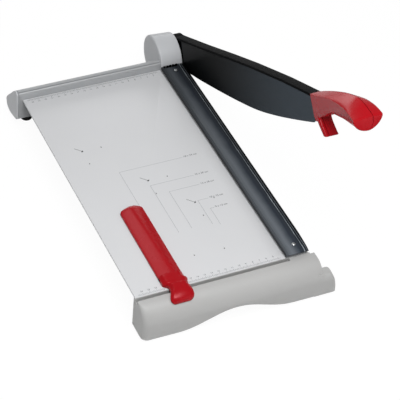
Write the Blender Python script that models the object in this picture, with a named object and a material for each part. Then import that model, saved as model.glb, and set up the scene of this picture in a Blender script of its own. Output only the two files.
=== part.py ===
"""Desk guillotine for paper: a printed table with a lever blade on its right-hand edge.

Lengths are in metres and +Z is up. The drawing frame has x = 0 at the table's left edge,
y = 0 at its front edge and z = 0 on its top face. One root empty then moves everything so
that the world's origin is under the middle of the front left foot.
"""

import math

import bmesh
import bpy
from mathutils import Vector

# Table and clearances
TABLE_WIDTH = 0.2521
TABLE_LENGTH = 0.427
TABLE_THICKNESS = 0.003
TABLE_HEIGHT = 0.055
FIT_GAP = 0.0003
CUT_OVERRUN = 0.010

# Front housing
FRONT_DEPTH = 0.036
FRONT_DEPTH_LEFT = 0.0325
FRONT_UNDERLAP = 0.005
FRONT_CLEARANCE = 0.003
FRONT_WALL = 0.0028
FRONT_TOP_FLAT = 0.010
FRONT_SHOULDER = 0.027
FRONT_TUCK = 0.0015
FRONT_CORNER = 0.009
ARCH_START = 0.052
ARCH_END = 0.217
ARCH_RISE = 0.0195
SLOT_LIP = 0.0012
SLOT_WIDTH = 0.0050
SLOT_DEPTH = 0.008
SLOT_END = 0.221
RELIEF_WIDTH = 0.008
RELIEF_DEPTH = 0.0033
TOE_REACH = 0.022
TOE_TAPER = 0.0092
TOE_DROP = 0.0165
TOE_DEPTH = 0.018
TOE_CORNER = 0.004
TOE_CROWN_DEPTH = 0.007
TOE_CROWN_RISE = 0.012
FRONT_RIB = 0.002

# Rear rail
RAIL_RISE = 0.0110
RAIL_CREST = 0.0035
RAIL_DEPTH = 0.046
RAIL_DROP = 0.0424
RAIL_CHIN = 0.0084
RAIL_WALL = 0.0025
RAIL_OVERHANG = 0.006
RAIL_GROOVE = 0.0012
CAP_THICKNESS = 0.0027
CAP_PLUG = 0.006

# Pivot
PIVOT_BACK = 0.031
PIVOT_RISE = -0.0005
DRUM_RADIUS = 0.035
DRUM_LENGTH = 0.0348
DRUM_TAPER = 0.002
DRUM_WALL = 0.003
DRUM_EDGE = 0.0025
BOSS_WALL = 0.0035
SHAFT_RADIUS = 0.006
BUSH_WALL = 0.003
BUSH_LENGTH = 0.010
WASHER_THICKNESS = 0.0022
RETAINER_THICKNESS = 0.0015
PIVOT_CAP_RADIUS = 0.013
PIVOT_CAP_THICKNESS = 0.0035

# Lever arm and blade
REST_ANGLE = math.radians(26.5)
ARM_LENGTH = 0.463
ARM_WIDTH = 0.016
ARM_TOP = 0.031
HUB_RADIUS = 0.0285
FLANGE_THICKNESS = 0.003
FLANGE_LIP = 0.013
LIP_THICKNESS = 0.0025
WEB_THICKNESS = 0.0035
WEB_SETBACK = 0.011
BELLY_DEPTH = 0.031
BLADE_THICKNESS = 0.003
BLADE_BEVEL = 0.005
BLADE_START = 0.037
JOINT_SLANT = 0.007
TANG_HEIGHT = 0.016
BLADE_SCREWS = 5
BLADE_SCREW_RADIUS = 0.002
BLADE_SCREW_HEAD = 0.0042

# Handle
HANDLE_LENGTH = 0.144
HANDLE_CROWN = 0.0415
FLARE_LEFT = 0.0151
FLARE_RIGHT = 0.0101
SEAM_TOP = 0.0123
SEAM_BOTTOM = 0.0055
PRONG_DROP = 0.0240
PRONG_WIDTH = 0.0192
PRONG_THICKNESS = 0.0085
HANDLE_SCREW_RADIUS = 0.0016
HANDLE_SCREW_HEAD = 0.003

# Clamp bar
CLAMP_WIDTH = 0.0361
CLAMP_LIFT = 0.0046
CLAMP_THICKNESS = 0.0046
CLAMP_END_ROUND = 0.045
CLAMP_END_TUCK = 0.0020
POST_RADIUS = 0.003
POST_INSET = 0.013
COLLAR_RADIUS = 0.005
COLLAR_THICKNESS = 0.002
POST_TAIL = 0.007
SPRING_WALL = 0.001
CLAMP_SCREW_RADIUS = 0.0012
CLAMP_SCREW_HEAD = 0.0030
CLAMP_SCREW_HEIGHT = 0.0014
CLAMP_SCREW_LENGTH = 0.009

# Bed
KNIFE_THICKNESS = 0.005
KNIFE_HEIGHT = 0.018
BED_RAIL_WIDTH = 0.024
BED_RAIL_HEIGHT = 0.030
BED_RAIL_WALL = 0.0025
STRINGER_WIDTH = 0.014
STRINGER_HEIGHT = 0.022
STRINGER_WALL = 0.002
STRINGER_INSET = 0.020
KNIFE_SCREWS = 4
KNIFE_SCREW_RADIUS = 0.002
KNIFE_SCREW_HEAD = 0.0038
SCREW_HEAD_HEIGHT = 0.0022

# Side stop
STOP_LEFT = 0.0405
STOP_WIDTH = 0.0335
STOP_LENGTH = 0.1600
STOP_CROWN = 0.0082
STOP_REACH = 0.0248
KEY_LENGTH = 0.022
KEY_CLEARANCE = 0.0004

# Feet
FOOT_RADIUS = 0.0085
FOOT_INSET = 0.014
FOOT_EDGE = 0.001

# Shares along and across the forms that they shape
BELLY_SHARES = (
    (0.000, 0.640), (0.130, 0.710), (0.201, 0.787), (0.350, 0.897), (0.492, 0.965),
    (0.629, 0.968), (0.760, 0.823), (0.890, 0.594), (0.996, 0.371), (1.015, 0.306),
)
SPINE_SHARES = ((0.00, 0.870), (0.23, 0.905), (0.43, 0.970), (0.60, 1.000), (0.82, 0.970), (1.00, 0.865))
RAIL_BACK_SHARES = (
    (0.130, 0.982), (0.240, 0.936), (0.380, 0.830), (0.540, 0.690), (0.711, 0.548), (0.850, 0.425),
    (0.945, 0.335), (1.000, 0.250), (0.993, 0.170), (0.963, 0.105), (0.878, 0.037), (0.740, 0.008),
    (0.602, 0.000), (0.300, 0.045), (0.080, 0.090),
)
CLAMP_TOP_SHARES = (
    (0.000, 0.45), (0.035, 0.78), (0.080, 0.84), (0.220, 0.66), (0.430, 0.58), (0.630, 0.70),
    (0.680, 1.00), (0.725, 1.00), (0.765, 0.72), (0.900, 0.80), (0.965, 0.78), (1.000, 0.50),
)
GRIP_SHARES = (
    (0.000, 0.00, 0.00, 0.640, 0.655, 0.640, -0.229, 0.22), (0.120, 0.03, 0.05, 0.660, 0.752, 0.720, -0.060, 0.25),
    (0.240, 0.07, 0.12, 0.715, 0.836, 0.770, 0.075, 0.30), (0.310, 0.11, 0.20, 0.745, 0.876, 0.808, 0.190, 0.38),
    (0.410, 0.16, 0.30, 0.770, 0.928, 0.850, 0.262, 0.46), (0.535, 0.26, 0.45, 0.766, 0.980, 0.875, 0.252, 0.58),
    (0.640, 0.36, 0.60, 0.747, 0.998, 0.880, 0.234, 0.68), (0.750, 0.51, 0.75, 0.713, 0.990, 0.872, 0.188, 0.78),
    (0.840, 0.66, 0.87, 0.675, 0.905, 0.810, 0.168, 0.85), (0.917, 0.81, 0.95, 0.627, 0.770, 0.720, 0.165, 0.90),
    (1.000, 0.98, 1.00, 0.566, 0.593, 0.583, 0.180, 0.92),
)
PRONG_SHARES = ((0.055, 0.25), (0.066, 0.00), (0.086, -0.33), (0.128, -0.67), (0.176, -1.00))
SEAM_SHARES = ((1.00, 0.52), (0.90, 0.40), (0.55, 0.28), (0.15, 0.19), (0.00, 0.08))
STOP_SHARES = (
    (1.000, 0.360, 0.240, 0.22, 0.42, 0.36, 0.62), (0.994, 0.230, 0.110, 0.28, 0.62, 0.38, 0.60),
    (0.978, 0.110, 0.036, 0.34, 0.84, 0.42, 0.58), (0.959, 0.024, 0.006, 0.38, 0.96, 0.44, 0.56),
    (0.934, 0.000, 0.000, 0.40, 1.00, 0.44, 0.56), (0.152, 0.000, 0.000, 0.40, 1.00, 0.58, 0.68),
    (0.125, 0.000, 0.012, 0.58, 1.03, 0.20, 0.84), (0.078, 0.000, 0.012, 0.60, 1.03, 0.18, 0.84),
    (0.062, 0.000, -0.045, 0.60, 1.03, 0.18, 0.84), (0.042, 0.006, -0.062, 0.60, 1.03, 0.18, 0.84),
    (0.026, 0.060, -0.040, 0.60, 1.03, 0.20, 0.84), (0.010, 0.160, -0.006, 0.60, 1.03, 0.20, 0.84),
    (-0.040, 0.182, 0.020, 0.60, 1.02, 0.20, 0.82), (-0.242, 0.176, 0.000, 0.60, 0.98, 0.20, 0.82),
    (-0.444, 0.127, -0.024, 0.56, 0.90, 0.18, 0.84), (-0.685, 0.048, -0.030, 0.48, 0.80, 0.16, 0.86),
    (-0.847, 0.039, 0.000, 0.42, 0.74, 0.16, 0.86), (-0.968, 0.106, 0.106, 0.36, 0.62, 0.18, 0.84),
    (-1.000, 0.197, 0.197, 0.30, 0.50, 0.22, 0.80),
)
STOP_BULGE_SHARE = 0.06
RIB_SHARES = (0.20, 0.40, 0.60, 0.80)
HANDLE_SCREW_SHARES = (0.15, 0.40)
TANG_SHARE = 0.486
DRAW_IN_SHARE = 0.40
HANDLE_SCREW_RISE_SHARE = 1.1
TANG_TIP_SHARE = 0.95
TANG_TOP_SHARE = 1.5
KNIFE_SCREW_DROP_SHARE = 0.6
CLAMP_SEAT_SHARE = 0.62
WELD_SHARE = 0.004

# Facets
DRUM_FACETS = 56
ROUND_FACETS = 24
SCREW_FACETS = 12
CURVE_STEPS = 6

# Places that follow from the sizes above
FRONT_LENGTH = TABLE_WIDTH + RELIEF_WIDTH
FRONT_FLOOR = FRONT_CLEARANCE - TABLE_HEIGHT
PLATE_UNDER = -TABLE_THICKNESS - FIT_GAP
PIVOT_Y = TABLE_LENGTH + PIVOT_BACK
RAIL_RIGHT = TABLE_WIDTH - DRUM_LENGTH - FIT_GAP
ARM_LEFT = TABLE_WIDTH + FIT_GAP
WEB_LEFT = BLADE_THICKNESS + FIT_GAP
BED_RAIL_RIGHT = TABLE_WIDTH - KNIFE_THICKNESS - FIT_GAP
BED_RAIL_LEFT = BED_RAIL_RIGHT - BED_RAIL_WIDTH
CLAMP_LEFT = TABLE_WIDTH - CLAMP_WIDTH
TANG_LENGTH = HANDLE_LENGTH * TANG_SHARE
POST_X = (BED_RAIL_LEFT + BED_RAIL_RIGHT) / 2
SPINE_END = ARM_TOP * SPINE_SHARES[-1][1]
BLADE_END = BELLY_DEPTH * BELLY_SHARES[-1][1]


def clear_scene():
    for item in list(bpy.data.objects):
        bpy.data.objects.remove(item, do_unlink=True)


def make_material(name, colour, roughness, metallic):
    made = bpy.data.materials.new(name)
    made.use_nodes = True
    shader = made.node_tree.nodes["Principled BSDF"]
    shader.inputs["Base Color"].default_value = (*colour, 1.0)
    shader.inputs["Roughness"].default_value = roughness
    shader.inputs["Metallic"].default_value = metallic
    made.diffuse_color = (*colour, 1.0)
    return made


def make_empty(name, parent=None, place=(0, 0, 0), turn=0.0):
    empty = bpy.data.objects.new(name, None)
    bpy.context.scene.collection.objects.link(empty)
    empty.parent = parent
    empty.location = place
    empty.rotation_euler = (turn, 0, 0)
    return empty


def finish_mesh(name, shape, parent, material=None, smooth=False):
    """Turns a bmesh into an object under its parent, with its faces pointing out."""
    bmesh.ops.remove_doubles(shape, verts=shape.verts, dist=FIT_GAP * WELD_SHARE)
    bmesh.ops.recalc_face_normals(shape, faces=shape.faces)
    mesh = bpy.data.meshes.new(name)
    shape.to_mesh(mesh)
    shape.free()
    made = bpy.data.objects.new(name, mesh)
    bpy.context.scene.collection.objects.link(made)
    made.parent = parent
    if material:
        mesh.materials.append(material)
    if smooth:
        mesh.shade_smooth()
        mesh.set_sharp_from_angle(angle=math.radians(35))
    return made


def loft(name, rings, parent, material=None, smooth=False):
    """Skins a row of rings that have equal counts, and caps both ends."""
    shape = bmesh.new()
    rows = [[shape.verts.new(point) for point in ring] for ring in rings]
    count = len(rows[0])
    for near, far in zip(rows, rows[1:]):
        for i in range(count):
            j = (i + 1) % count
            shape.faces.new((near[i], near[j], far[j], far[i]))
    shape.faces.new(rows[0])
    shape.faces.new(list(reversed(rows[-1])))
    return finish_mesh(name, shape, parent, material, smooth)


def prism_x(name, outline, low, high, parent, material=None, smooth=False):
    """A prism along x, with its outline given as (y, z)."""
    rings = [[(x, y, z) for y, z in outline] for x in (low, high)]
    return loft(name, rings, parent, material, smooth)


def prism_y(name, outline, low, high, parent, material=None, smooth=False):
    """A prism along y, with its outline given as (x, z)."""
    rings = [[(x, y, z) for x, z in outline] for y in (low, high)]
    return loft(name, rings, parent, material, smooth)


def box(name, low, high, parent, material=None):
    outline = ((low[1], low[2]), (high[1], low[2]), (high[1], high[2]), (low[1], high[2]))
    return prism_x(name, outline, low[0], high[0], parent, material)


def turned(name, profile, axis, centre, parent, material=None, facets=ROUND_FACETS, bored=False):
    """Turns a profile of (along, radius) about x or z. A bored profile is a closed loop off the axis."""
    rings = []
    for along, radius in profile:
        ring = []
        for i in range(facets):
            angle = math.tau * (i + 0.5) / facets
            a, b = radius * math.cos(angle), radius * math.sin(angle)
            offset = (along, a, b) if axis == "x" else (a, b, along)
            ring.append(Vector(centre) + Vector(offset))
        rings.append(ring)
    if not bored:
        return loft(name, rings, parent, material, True)
    shape = bmesh.new()
    rows = [[shape.verts.new(point) for point in ring] for ring in rings]
    for k, near in enumerate(rows):
        far = rows[(k + 1) % len(rows)]
        for i in range(facets):
            j = (i + 1) % facets
            shape.faces.new((near[i], near[j], far[j], far[i]))
    return finish_mesh(name, shape, parent, material, True)


def tube_profile(low, high, inner, outer):
    return ((low, inner), (low, outer), (high, outer), (high, inner))


def boolean(target, tool, operation):
    change = target.modifiers.new(tool.name, "BOOLEAN")
    change.operation = operation
    change.solver = "EXACT"
    change.object = tool
    tool.hide_render = True
    tool.display_type = "WIRE"


def cut(target, tool):
    boolean(target, tool, "DIFFERENCE")


def join(target, tool):
    boolean(target, tool, "UNION")


def blend(low, high, share):
    return low + (high - low) * share


def depth_at(x):
    """The housing deepens a little towards the blade."""
    return blend(FRONT_DEPTH_LEFT, FRONT_DEPTH, x / FRONT_LENGTH)


def front_surface(x, y):
    """Height of the front housing's outer skin at a place in front of the table."""
    run = depth_at(x) - FRONT_TOP_FLAT
    reach = min(max((-y - FRONT_TOP_FLAT) / run, 0.0), 1.0)
    return -FRONT_SHOULDER * (1.0 - math.sqrt(1.0 - reach * reach))


def arch(x):
    """Height of the housing's lower edge above its floor: one long smooth wave."""
    share = (x - ARCH_START) / (ARCH_END - ARCH_START)
    if not 0.0 < share < 1.0:
        return 0.0
    return ARCH_RISE * (1.0 - math.cos(math.tau * share)) / 2


def corner_inset(x):
    """How far the rounded left end of the housing draws its front back."""
    if x >= FRONT_CORNER:
        return 0.0
    drop = FRONT_CORNER - x
    return FRONT_CORNER - math.sqrt(FRONT_CORNER**2 - drop**2)


def front_stations():
    """Places along x: close together at the rounded end and along the wave."""
    end = [FRONT_CORNER * (1 - math.cos(math.pi / 2 * i / CURVE_STEPS)) for i in range(CURVE_STEPS + 1)]
    steps = 3 * CURVE_STEPS
    wave = [blend(ARCH_START, ARCH_END, i / steps) for i in range(steps + 1)]
    return end + wave + [FRONT_LENGTH]


def front_curve(x, inset):
    """The convex skin from the flat top down to the steep front, drawn in by an inset."""
    steps = 2 * CURVE_STEPS
    run = depth_at(x) - FRONT_TOP_FLAT - inset
    fall = FRONT_SHOULDER - inset
    turns = [math.pi / 2 * i / steps for i in range(steps + 1)]
    return [(-FRONT_TOP_FLAT - run * math.sin(turn), -inset - fall * (1 - math.cos(turn))) for turn in turns]


def front_ring(x, inset=0.0, roof=0.0, floor=None):
    """The housing's section at x, drawn in from its outer skin by an inset."""
    ring = [(x, FRONT_UNDERLAP - inset, min(PLATE_UNDER - inset, roof))]
    if not inset:
        ring.append((x, -FIT_GAP, PLATE_UNDER))
        ring.append((x, -FIT_GAP, 0.0))
    back = corner_inset(x) if not inset else 0.0
    for y, z in front_curve(x, inset):
        ring.append((x, min(y + back, -FIT_GAP - inset), min(z, roof)))
    low = floor if floor is not None else FRONT_FLOOR + arch(x)
    ring.append((x, -depth_at(x) + FRONT_TUCK + inset + back, low))
    ring.append((x, FRONT_UNDERLAP - inset, low))
    return ring


def toe_ring(z, inset=0.0):
    """A plan section of the toe that sticks out to the right under the handle."""
    share = (z - FRONT_FLOOR) / (-TOE_DROP - FRONT_FLOOR)
    left = TABLE_WIDTH - FRONT_WALL + inset
    right = FRONT_LENGTH + TOE_REACH - TOE_TAPER * share**2 - inset
    rise = min(max((z + TOE_DROP) / TOE_CROWN_RISE + 1, 0.0), 1.0)
    front = -FRONT_DEPTH + FRONT_TUCK * (1 - share) + TOE_CROWN_DEPTH * (1 - math.sqrt(1 - rise**2)) + inset
    back = -FRONT_DEPTH + TOE_DEPTH - inset
    corner = TOE_CORNER - inset / 2
    ring = [(left, back, z), (left, front, z)]
    for x, y, start in ((right - corner, front + corner, -math.pi / 2), (right - corner, back - corner, 0.0)):
        for i in range(CURVE_STEPS):
            turn = start + math.pi / 2 * i / (CURVE_STEPS - 1)
            ring.append((x + corner * math.cos(turn), y + corner * math.sin(turn), z))
    return ring


def build_front_housing(root, plastic):
    housing = loft("front_housing", [front_ring(x) for x in front_stations()], root, plastic, True)
    toe_top = -TOE_DROP
    crown_foot, crown_end = toe_top - TOE_CROWN_RISE, toe_top - TOE_CORNER / 3
    heights = [blend(FRONT_FLOOR, crown_foot, i / 2) for i in range(3)]
    heights += [blend(crown_foot, crown_end, math.sin(math.pi / 2 * i / 6)) for i in range(1, 7)]
    rings = [toe_ring(z) for z in heights]
    rings.append([(x, y, toe_top) for x, y, _ in toe_ring(heights[-1], TOE_CORNER / 3)])
    join(housing, loft("front_toe", rings, root))
    top, back = CUT_OVERRUN, FRONT_UNDERLAP + CUT_OVERRUN
    front = -FRONT_DEPTH - CUT_OVERRUN
    curve = [(y, z) for y, z in front_curve(TABLE_WIDTH, RELIEF_DEPTH) if z > toe_top]
    run, fall = FRONT_DEPTH - FRONT_TOP_FLAT - RELIEF_DEPTH, FRONT_SHOULDER - RELIEF_DEPTH
    share = 1 - (TOE_DROP - RELIEF_DEPTH) / fall
    curve.append((-FRONT_TOP_FLAT - run * math.sqrt(1 - share**2), toe_top))
    relief = [(back, top), (back, -RELIEF_DEPTH)] + curve + [(front, toe_top), (front, top)]
    right = FRONT_LENGTH + TOE_REACH
    cut(housing, prism_x("blade_relief", relief, TABLE_WIDTH, right, root))
    low = (TABLE_WIDTH, -FIT_GAP, FRONT_FLOOR - CUT_OVERRUN)
    cut(housing, box("rear_relief", low, (right, back, top), root))
    roof = -SLOT_DEPTH - FRONT_WALL
    below = FRONT_FLOOR - CUT_OVERRUN
    walls = [FRONT_WALL]
    for share in RIB_SHARES:
        walls += [share * TABLE_WIDTH - FRONT_RIB / 2, share * TABLE_WIDTH + FRONT_RIB / 2]
    walls.append(TABLE_WIDTH - FRONT_WALL)
    for i in range(0, len(walls), 2):
        rings = [front_ring(x, FRONT_WALL, roof, below) for x in (walls[i], walls[i + 1])]
        cut(housing, loft(f"front_hollow_{i // 2 + 1}", rings, root))
    inner_roof = toe_top - FRONT_WALL
    rings = [[(x, y, min(z, inner_roof)) for x, y, z in toe_ring(z, FRONT_WALL)] for z in (FRONT_FLOOR, inner_roof)]
    rings[0] = [(x, y, below) for x, y, _ in rings[0]]
    cut(housing, loft("toe_hollow", rings, root))
    slot_back = -FIT_GAP - SLOT_LIP
    slot_low = (-CUT_OVERRUN, slot_back - SLOT_WIDTH, -SLOT_DEPTH)
    cut(housing, box("slot_cutter", slot_low, (SLOT_END, slot_back, CUT_OVERRUN), root))
    for i, x in enumerate((FOOT_INSET, TABLE_WIDTH - FOOT_INSET), 1):
        profile = ((FRONT_FLOOR, FOOT_RADIUS), (roof + FRONT_WALL / 2, FOOT_RADIUS))
        join(housing, turned(f"foot_boss_{i}", profile, "z", (x, -FOOT_INSET, 0), root))
    return housing


def rail_outline(inset=0.0):
    """The rear rail's section as (y, z): a steep face to the table and a long slope behind its crest."""
    height = RAIL_RISE + RAIL_CREST + RAIL_DROP
    face, top = TABLE_LENGTH + inset, RAIL_RISE - inset
    points = [(face, -RAIL_DROP + RAIL_CHIN + inset), (face, top)]
    if not inset:
        groove = TABLE_LENGTH + RAIL_GROOVE
        points += [
            (groove, top + RAIL_GROOVE), (groove + RAIL_GROOVE, top + RAIL_GROOVE),
            (groove + RAIL_GROOVE, top), (groove + 2 * RAIL_GROOVE, top),
            (groove + 2 * RAIL_GROOVE, top + 2 * RAIL_GROOVE),
        ]
    middle = Vector((TABLE_LENGTH + RAIL_DEPTH / 2, -RAIL_DROP / 2))
    for along, up in RAIL_BACK_SHARES:
        y = TABLE_LENGTH + along * RAIL_DEPTH
        z = -RAIL_DROP + up * height
        inward = (middle - Vector((y, z))).normalized() * inset
        points.append((y + inward.x, z + inward.y))
    return points


def build_rear(root, metal, plastic):
    rail = prism_x("rear_rail", rail_outline(), -RAIL_OVERHANG, RAIL_RIGHT, root, metal)
    low, high = -RAIL_OVERHANG - CUT_OVERRUN, RAIL_RIGHT + CUT_OVERRUN
    cut(rail, prism_x("rail_hollow", rail_outline(RAIL_WALL), low, high, root))
    cap_right = -RAIL_OVERHANG - FIT_GAP
    cap = prism_x("rail_end_cap", rail_outline(), cap_right - CAP_THICKNESS, cap_right, root, plastic)
    plug = rail_outline(RAIL_WALL + FIT_GAP)
    join(cap, prism_x("rail_end_plug", plug, cap_right - CAP_THICKNESS / 2, cap_right + CAP_PLUG, root))
    left, right = RAIL_RIGHT + FIT_GAP, TABLE_WIDTH - FIT_GAP
    centre = (0, PIVOT_Y, PIVOT_RISE)
    drum_profile = (
        (left, DRUM_RADIUS - DRUM_EDGE), (left + DRUM_EDGE / 3, DRUM_RADIUS - DRUM_EDGE / 3),
        (left + DRUM_EDGE, DRUM_RADIUS), (right, DRUM_RADIUS - DRUM_TAPER),
    )
    drum = turned("pivot_housing", drum_profile, "x", centre, root, plastic, DRUM_FACETS)
    join(drum, prism_x("pivot_base", rail_outline(), left, right, root))
    boss = SHAFT_RADIUS + BUSH_WALL + BOSS_WALL + 2 * FIT_GAP
    well = tube_profile(left + DRUM_WALL, right + CUT_OVERRUN, boss, DRUM_RADIUS - DRUM_TAPER - DRUM_WALL)
    cut(drum, turned("drum_hollow", well, "x", centre, root, None, DRUM_FACETS, True))
    boss_end = TABLE_WIDTH - WASHER_THICKNESS - FIT_GAP
    facing = ((boss_end, boss + DRUM_WALL / 2), (right + CUT_OVERRUN, boss + DRUM_WALL / 2))
    cut(drum, turned("boss_facing", facing, "x", centre, root, None, DRUM_FACETS))
    bore = SHAFT_RADIUS + BUSH_WALL + 2 * FIT_GAP
    cut(drum, turned("boss_bore", ((left + DRUM_WALL, bore), (right + CUT_OVERRUN, bore)), "x", centre, root))
    return boss_end


def build_pivot(root, arm, boss_end, steel, bronze, plastic):
    """The shaft turns with the arm in two bushes that sit in the drum's boss."""
    centre = (0, PIVOT_Y, PIVOT_RISE)
    left = RAIL_RIGHT + FIT_GAP + DRUM_WALL
    bush_inner, bush_outer = SHAFT_RADIUS + FIT_GAP, SHAFT_RADIUS + BUSH_WALL + FIT_GAP
    first = left + 2 * FIT_GAP + RETAINER_THICKNESS
    for name, start in (("pivot_bush_left", first), ("pivot_bush_right", boss_end - BUSH_LENGTH)):
        profile = tube_profile(start, start + BUSH_LENGTH, bush_inner, bush_outer)
        turned(name, profile, "x", centre, root, bronze, ROUND_FACETS, True)
    washer = tube_profile(boss_end + FIT_GAP, TABLE_WIDTH, bush_inner, bush_outer + BOSS_WALL)
    turned("friction_washer", washer, "x", centre, root, steel, ROUND_FACETS, True)
    inner_end = left + FIT_GAP - ARM_LEFT
    outer_end = ARM_WIDTH + PIVOT_CAP_THICKNESS
    shaft = (
        (inner_end, SHAFT_RADIUS), (ARM_WIDTH + FIT_GAP, SHAFT_RADIUS), (ARM_WIDTH + FIT_GAP, PIVOT_CAP_RADIUS),
        (outer_end - PIVOT_CAP_THICKNESS / 3, PIVOT_CAP_RADIUS),
        (outer_end, PIVOT_CAP_RADIUS - PIVOT_CAP_THICKNESS / 3),
    )
    turned("pivot_shaft", shaft, "x", (0, 0, 0), arm, steel)


def smooth_belly(start, end, count):
    """Points along the curved edge: a cubic through the shares, from one place to another."""
    places = [along * ARM_LENGTH for along, _ in BELLY_SHARES]
    depths = [depth * BELLY_DEPTH for _, depth in BELLY_SHARES]
    points = []
    for i in range(count + 1):
        s = blend(start, end, i / count)
        k = max(j for j in range(len(places) - 1) if places[j] <= s or j == 0)
        before, after = max(k - 1, 0), min(k + 2, len(places) - 1)
        span = places[k + 1] - places[k]
        slope_in = (depths[k + 1] - depths[before]) / (places[k + 1] - places[before])
        slope_out = (depths[after] - depths[k]) / (places[after] - places[k])
        u = (s - places[k]) / span
        depth = (
            (2 * u**3 - 3 * u**2 + 1) * depths[k] + (u**3 - 2 * u**2 + u) * span * slope_in
            + (3 * u**2 - 2 * u**3) * depths[k + 1] + (u**3 - u**2) * span * slope_out
        )
        points.append((s, -depth))
    return points


def spine(along):
    """Height of the arm's slightly arched top edge above the pivot line."""
    share = min(max(along / ARM_LENGTH, 0.0), 1.0)
    for (low, first), (high, second) in zip(SPINE_SHARES, SPINE_SHARES[1:]):
        if share <= high:
            return ARM_TOP * blend(first, second, (share - low) / (high - low))
    return SPINE_END


def joint(up):
    """Where the slanted joint between arm and handle lies along the arm, at a height."""
    return ARM_LENGTH + JOINT_SLANT * (SPINE_END - up) / (SPINE_END + BLADE_END)


def screw_places(count):
    spread = ARM_LENGTH - 2 * BLADE_START
    return [BLADE_START + spread * (i + 0.5) / count for i in range(count)]


def arm_prism(name, outline, low, high, parent, material=None):
    """A prism across the arm, with its outline given as (along the arm, up)."""
    return prism_x(name, [(-s, t) for s, t in outline], low, high, parent, material)


def arm_section(along):
    """The lever's hooked section: a flange over the blade with a lip down its right side."""
    top = spine(along)
    under, chamfer = top - FLANGE_THICKNESS, FLANGE_THICKNESS / 2
    outline = (
        (0, under), (ARM_WIDTH - LIP_THICKNESS, under), (ARM_WIDTH - LIP_THICKNESS, under - FLANGE_LIP),
        (ARM_WIDTH, under - FLANGE_LIP), (ARM_WIDTH, top - chamfer), (ARM_WIDTH - chamfer, top),
        (chamfer, top), (0, top - chamfer),
    )
    return [(x, -along, t) for x, t in outline]


def build_arm(arm, black, steel):
    end = ARM_LENGTH - FIT_GAP
    stations = [end * i / (2 * CURVE_STEPS) for i in range(2 * CURVE_STEPS + 1)]
    lever = loft("lever_arm", [arm_section(along) for along in stations], arm, black)
    low_end = joint(-BLADE_END) - FIT_GAP
    curve = smooth_belly(HUB_RADIUS / 2, low_end - WEB_SETBACK, 3 * CURVE_STEPS)
    web = [(s, spine(s) - FLANGE_THICKNESS / 2) for s in stations]
    web += [(s, t + WEB_SETBACK) for s, t in reversed(curve)]
    join(lever, arm_prism("arm_web", web, WEB_LEFT, WEB_LEFT + WEB_THICKNESS, arm))
    tang_end, tang_top = ARM_LENGTH + TANG_LENGTH, SPINE_END - 2 * FLANGE_THICKNESS
    low, high = TANG_HEIGHT / 4, TANG_HEIGHT * TANG_TIP_SHARE
    tang = [
        (end - WEB_SETBACK, tang_top), (end - WEB_SETBACK, low), (ARM_LENGTH, low), (tang_end, high),
        (tang_end, TANG_HEIGHT * TANG_TOP_SHARE), (ARM_LENGTH, tang_top),
    ]
    join(lever, arm_prism("arm_tang", tang, WEB_LEFT + FIT_GAP, WEB_LEFT + WEB_THICKNESS - FIT_GAP, arm))
    join(lever, turned("arm_hub", ((0, HUB_RADIUS), (ARM_WIDTH, HUB_RADIUS)), "x", (0, 0, 0), arm, None, DRUM_FACETS))
    bore = SHAFT_RADIUS + FIT_GAP
    cut(lever, turned("hub_bore", ((-CUT_OVERRUN, bore), (ARM_WIDTH + CUT_OVERRUN, bore)), "x", (0, 0, 0), arm))

    edge = smooth_belly(BLADE_START, low_end, 4 * CURVE_STEPS)
    start = [s for s in stations if s > BLADE_START]
    top = [(s, spine(s) - FLANGE_THICKNESS - FIT_GAP) for s in [BLADE_START] + start[:-1]]
    corner_up = SPINE_END - FLANGE_THICKNESS - FIT_GAP
    top.append((joint(corner_up) - FIT_GAP, corner_up))
    raised = [(s, t + BLADE_BEVEL) for s, t in edge[:-1]]
    raised.append((joint(BLADE_BEVEL - BLADE_END) - FIT_GAP, BLADE_BEVEL - BLADE_END))
    left_face, right_face = edge + list(reversed(top)), raised + list(reversed(top))
    layers = ((0, left_face), (FIT_GAP, left_face), (BLADE_THICKNESS, right_face))
    rings = [[(x, -s, t) for s, t in face] for x, face in layers]
    blade = loft("blade", rings, arm, steel)
    for i, s in enumerate(screw_places(BLADE_SCREWS), 1):
        seat = WEB_LEFT + WEB_THICKNESS + FIT_GAP
        hole = BLADE_SCREW_RADIUS + FIT_GAP
        drill = ((BLADE_THICKNESS / 2, hole), (seat + CUT_OVERRUN / 2, hole))
        for name, piece in (("web_hole", lever), ("blade_hole", blade)):
            cut(piece, turned(f"{name}_{i}", drill, "x", (0, -s, TANG_HEIGHT / 2), arm, None, SCREW_FACETS))
        profile = (
            (BLADE_THICKNESS / 2 + FIT_GAP, BLADE_SCREW_RADIUS), (seat, BLADE_SCREW_RADIUS),
            (seat, BLADE_SCREW_HEAD), (seat + SCREW_HEAD_HEIGHT / 2, BLADE_SCREW_HEAD),
            (seat + SCREW_HEAD_HEIGHT, BLADE_SCREW_HEAD / 2),
        )
        turned(f"blade_screw_{i}", profile, "x", (0, -s, TANG_HEIGHT / 2), arm, steel, SCREW_FACETS)


def smooth_rows(rows, between):
    """Rows of shares with more rows set between them on a smooth curve through them all."""
    smoothed = []
    for k in range(len(rows) - 1):
        before, first, second, after = rows[max(k - 1, 0)], rows[k], rows[k + 1], rows[min(k + 2, len(rows) - 1)]
        for i in range(between):
            u = i / between
            row = []
            for a, b, c, d in zip(before, first, second, after):
                row.append(b + u * (c - a) / 2 + u * u * (a - 2.5 * b + 2 * c - d / 2) + u**3 * (1.5 * (b - c) + (d - a) / 2))
            smoothed.append(row)
    return smoothed + [list(rows[-1])]


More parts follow.
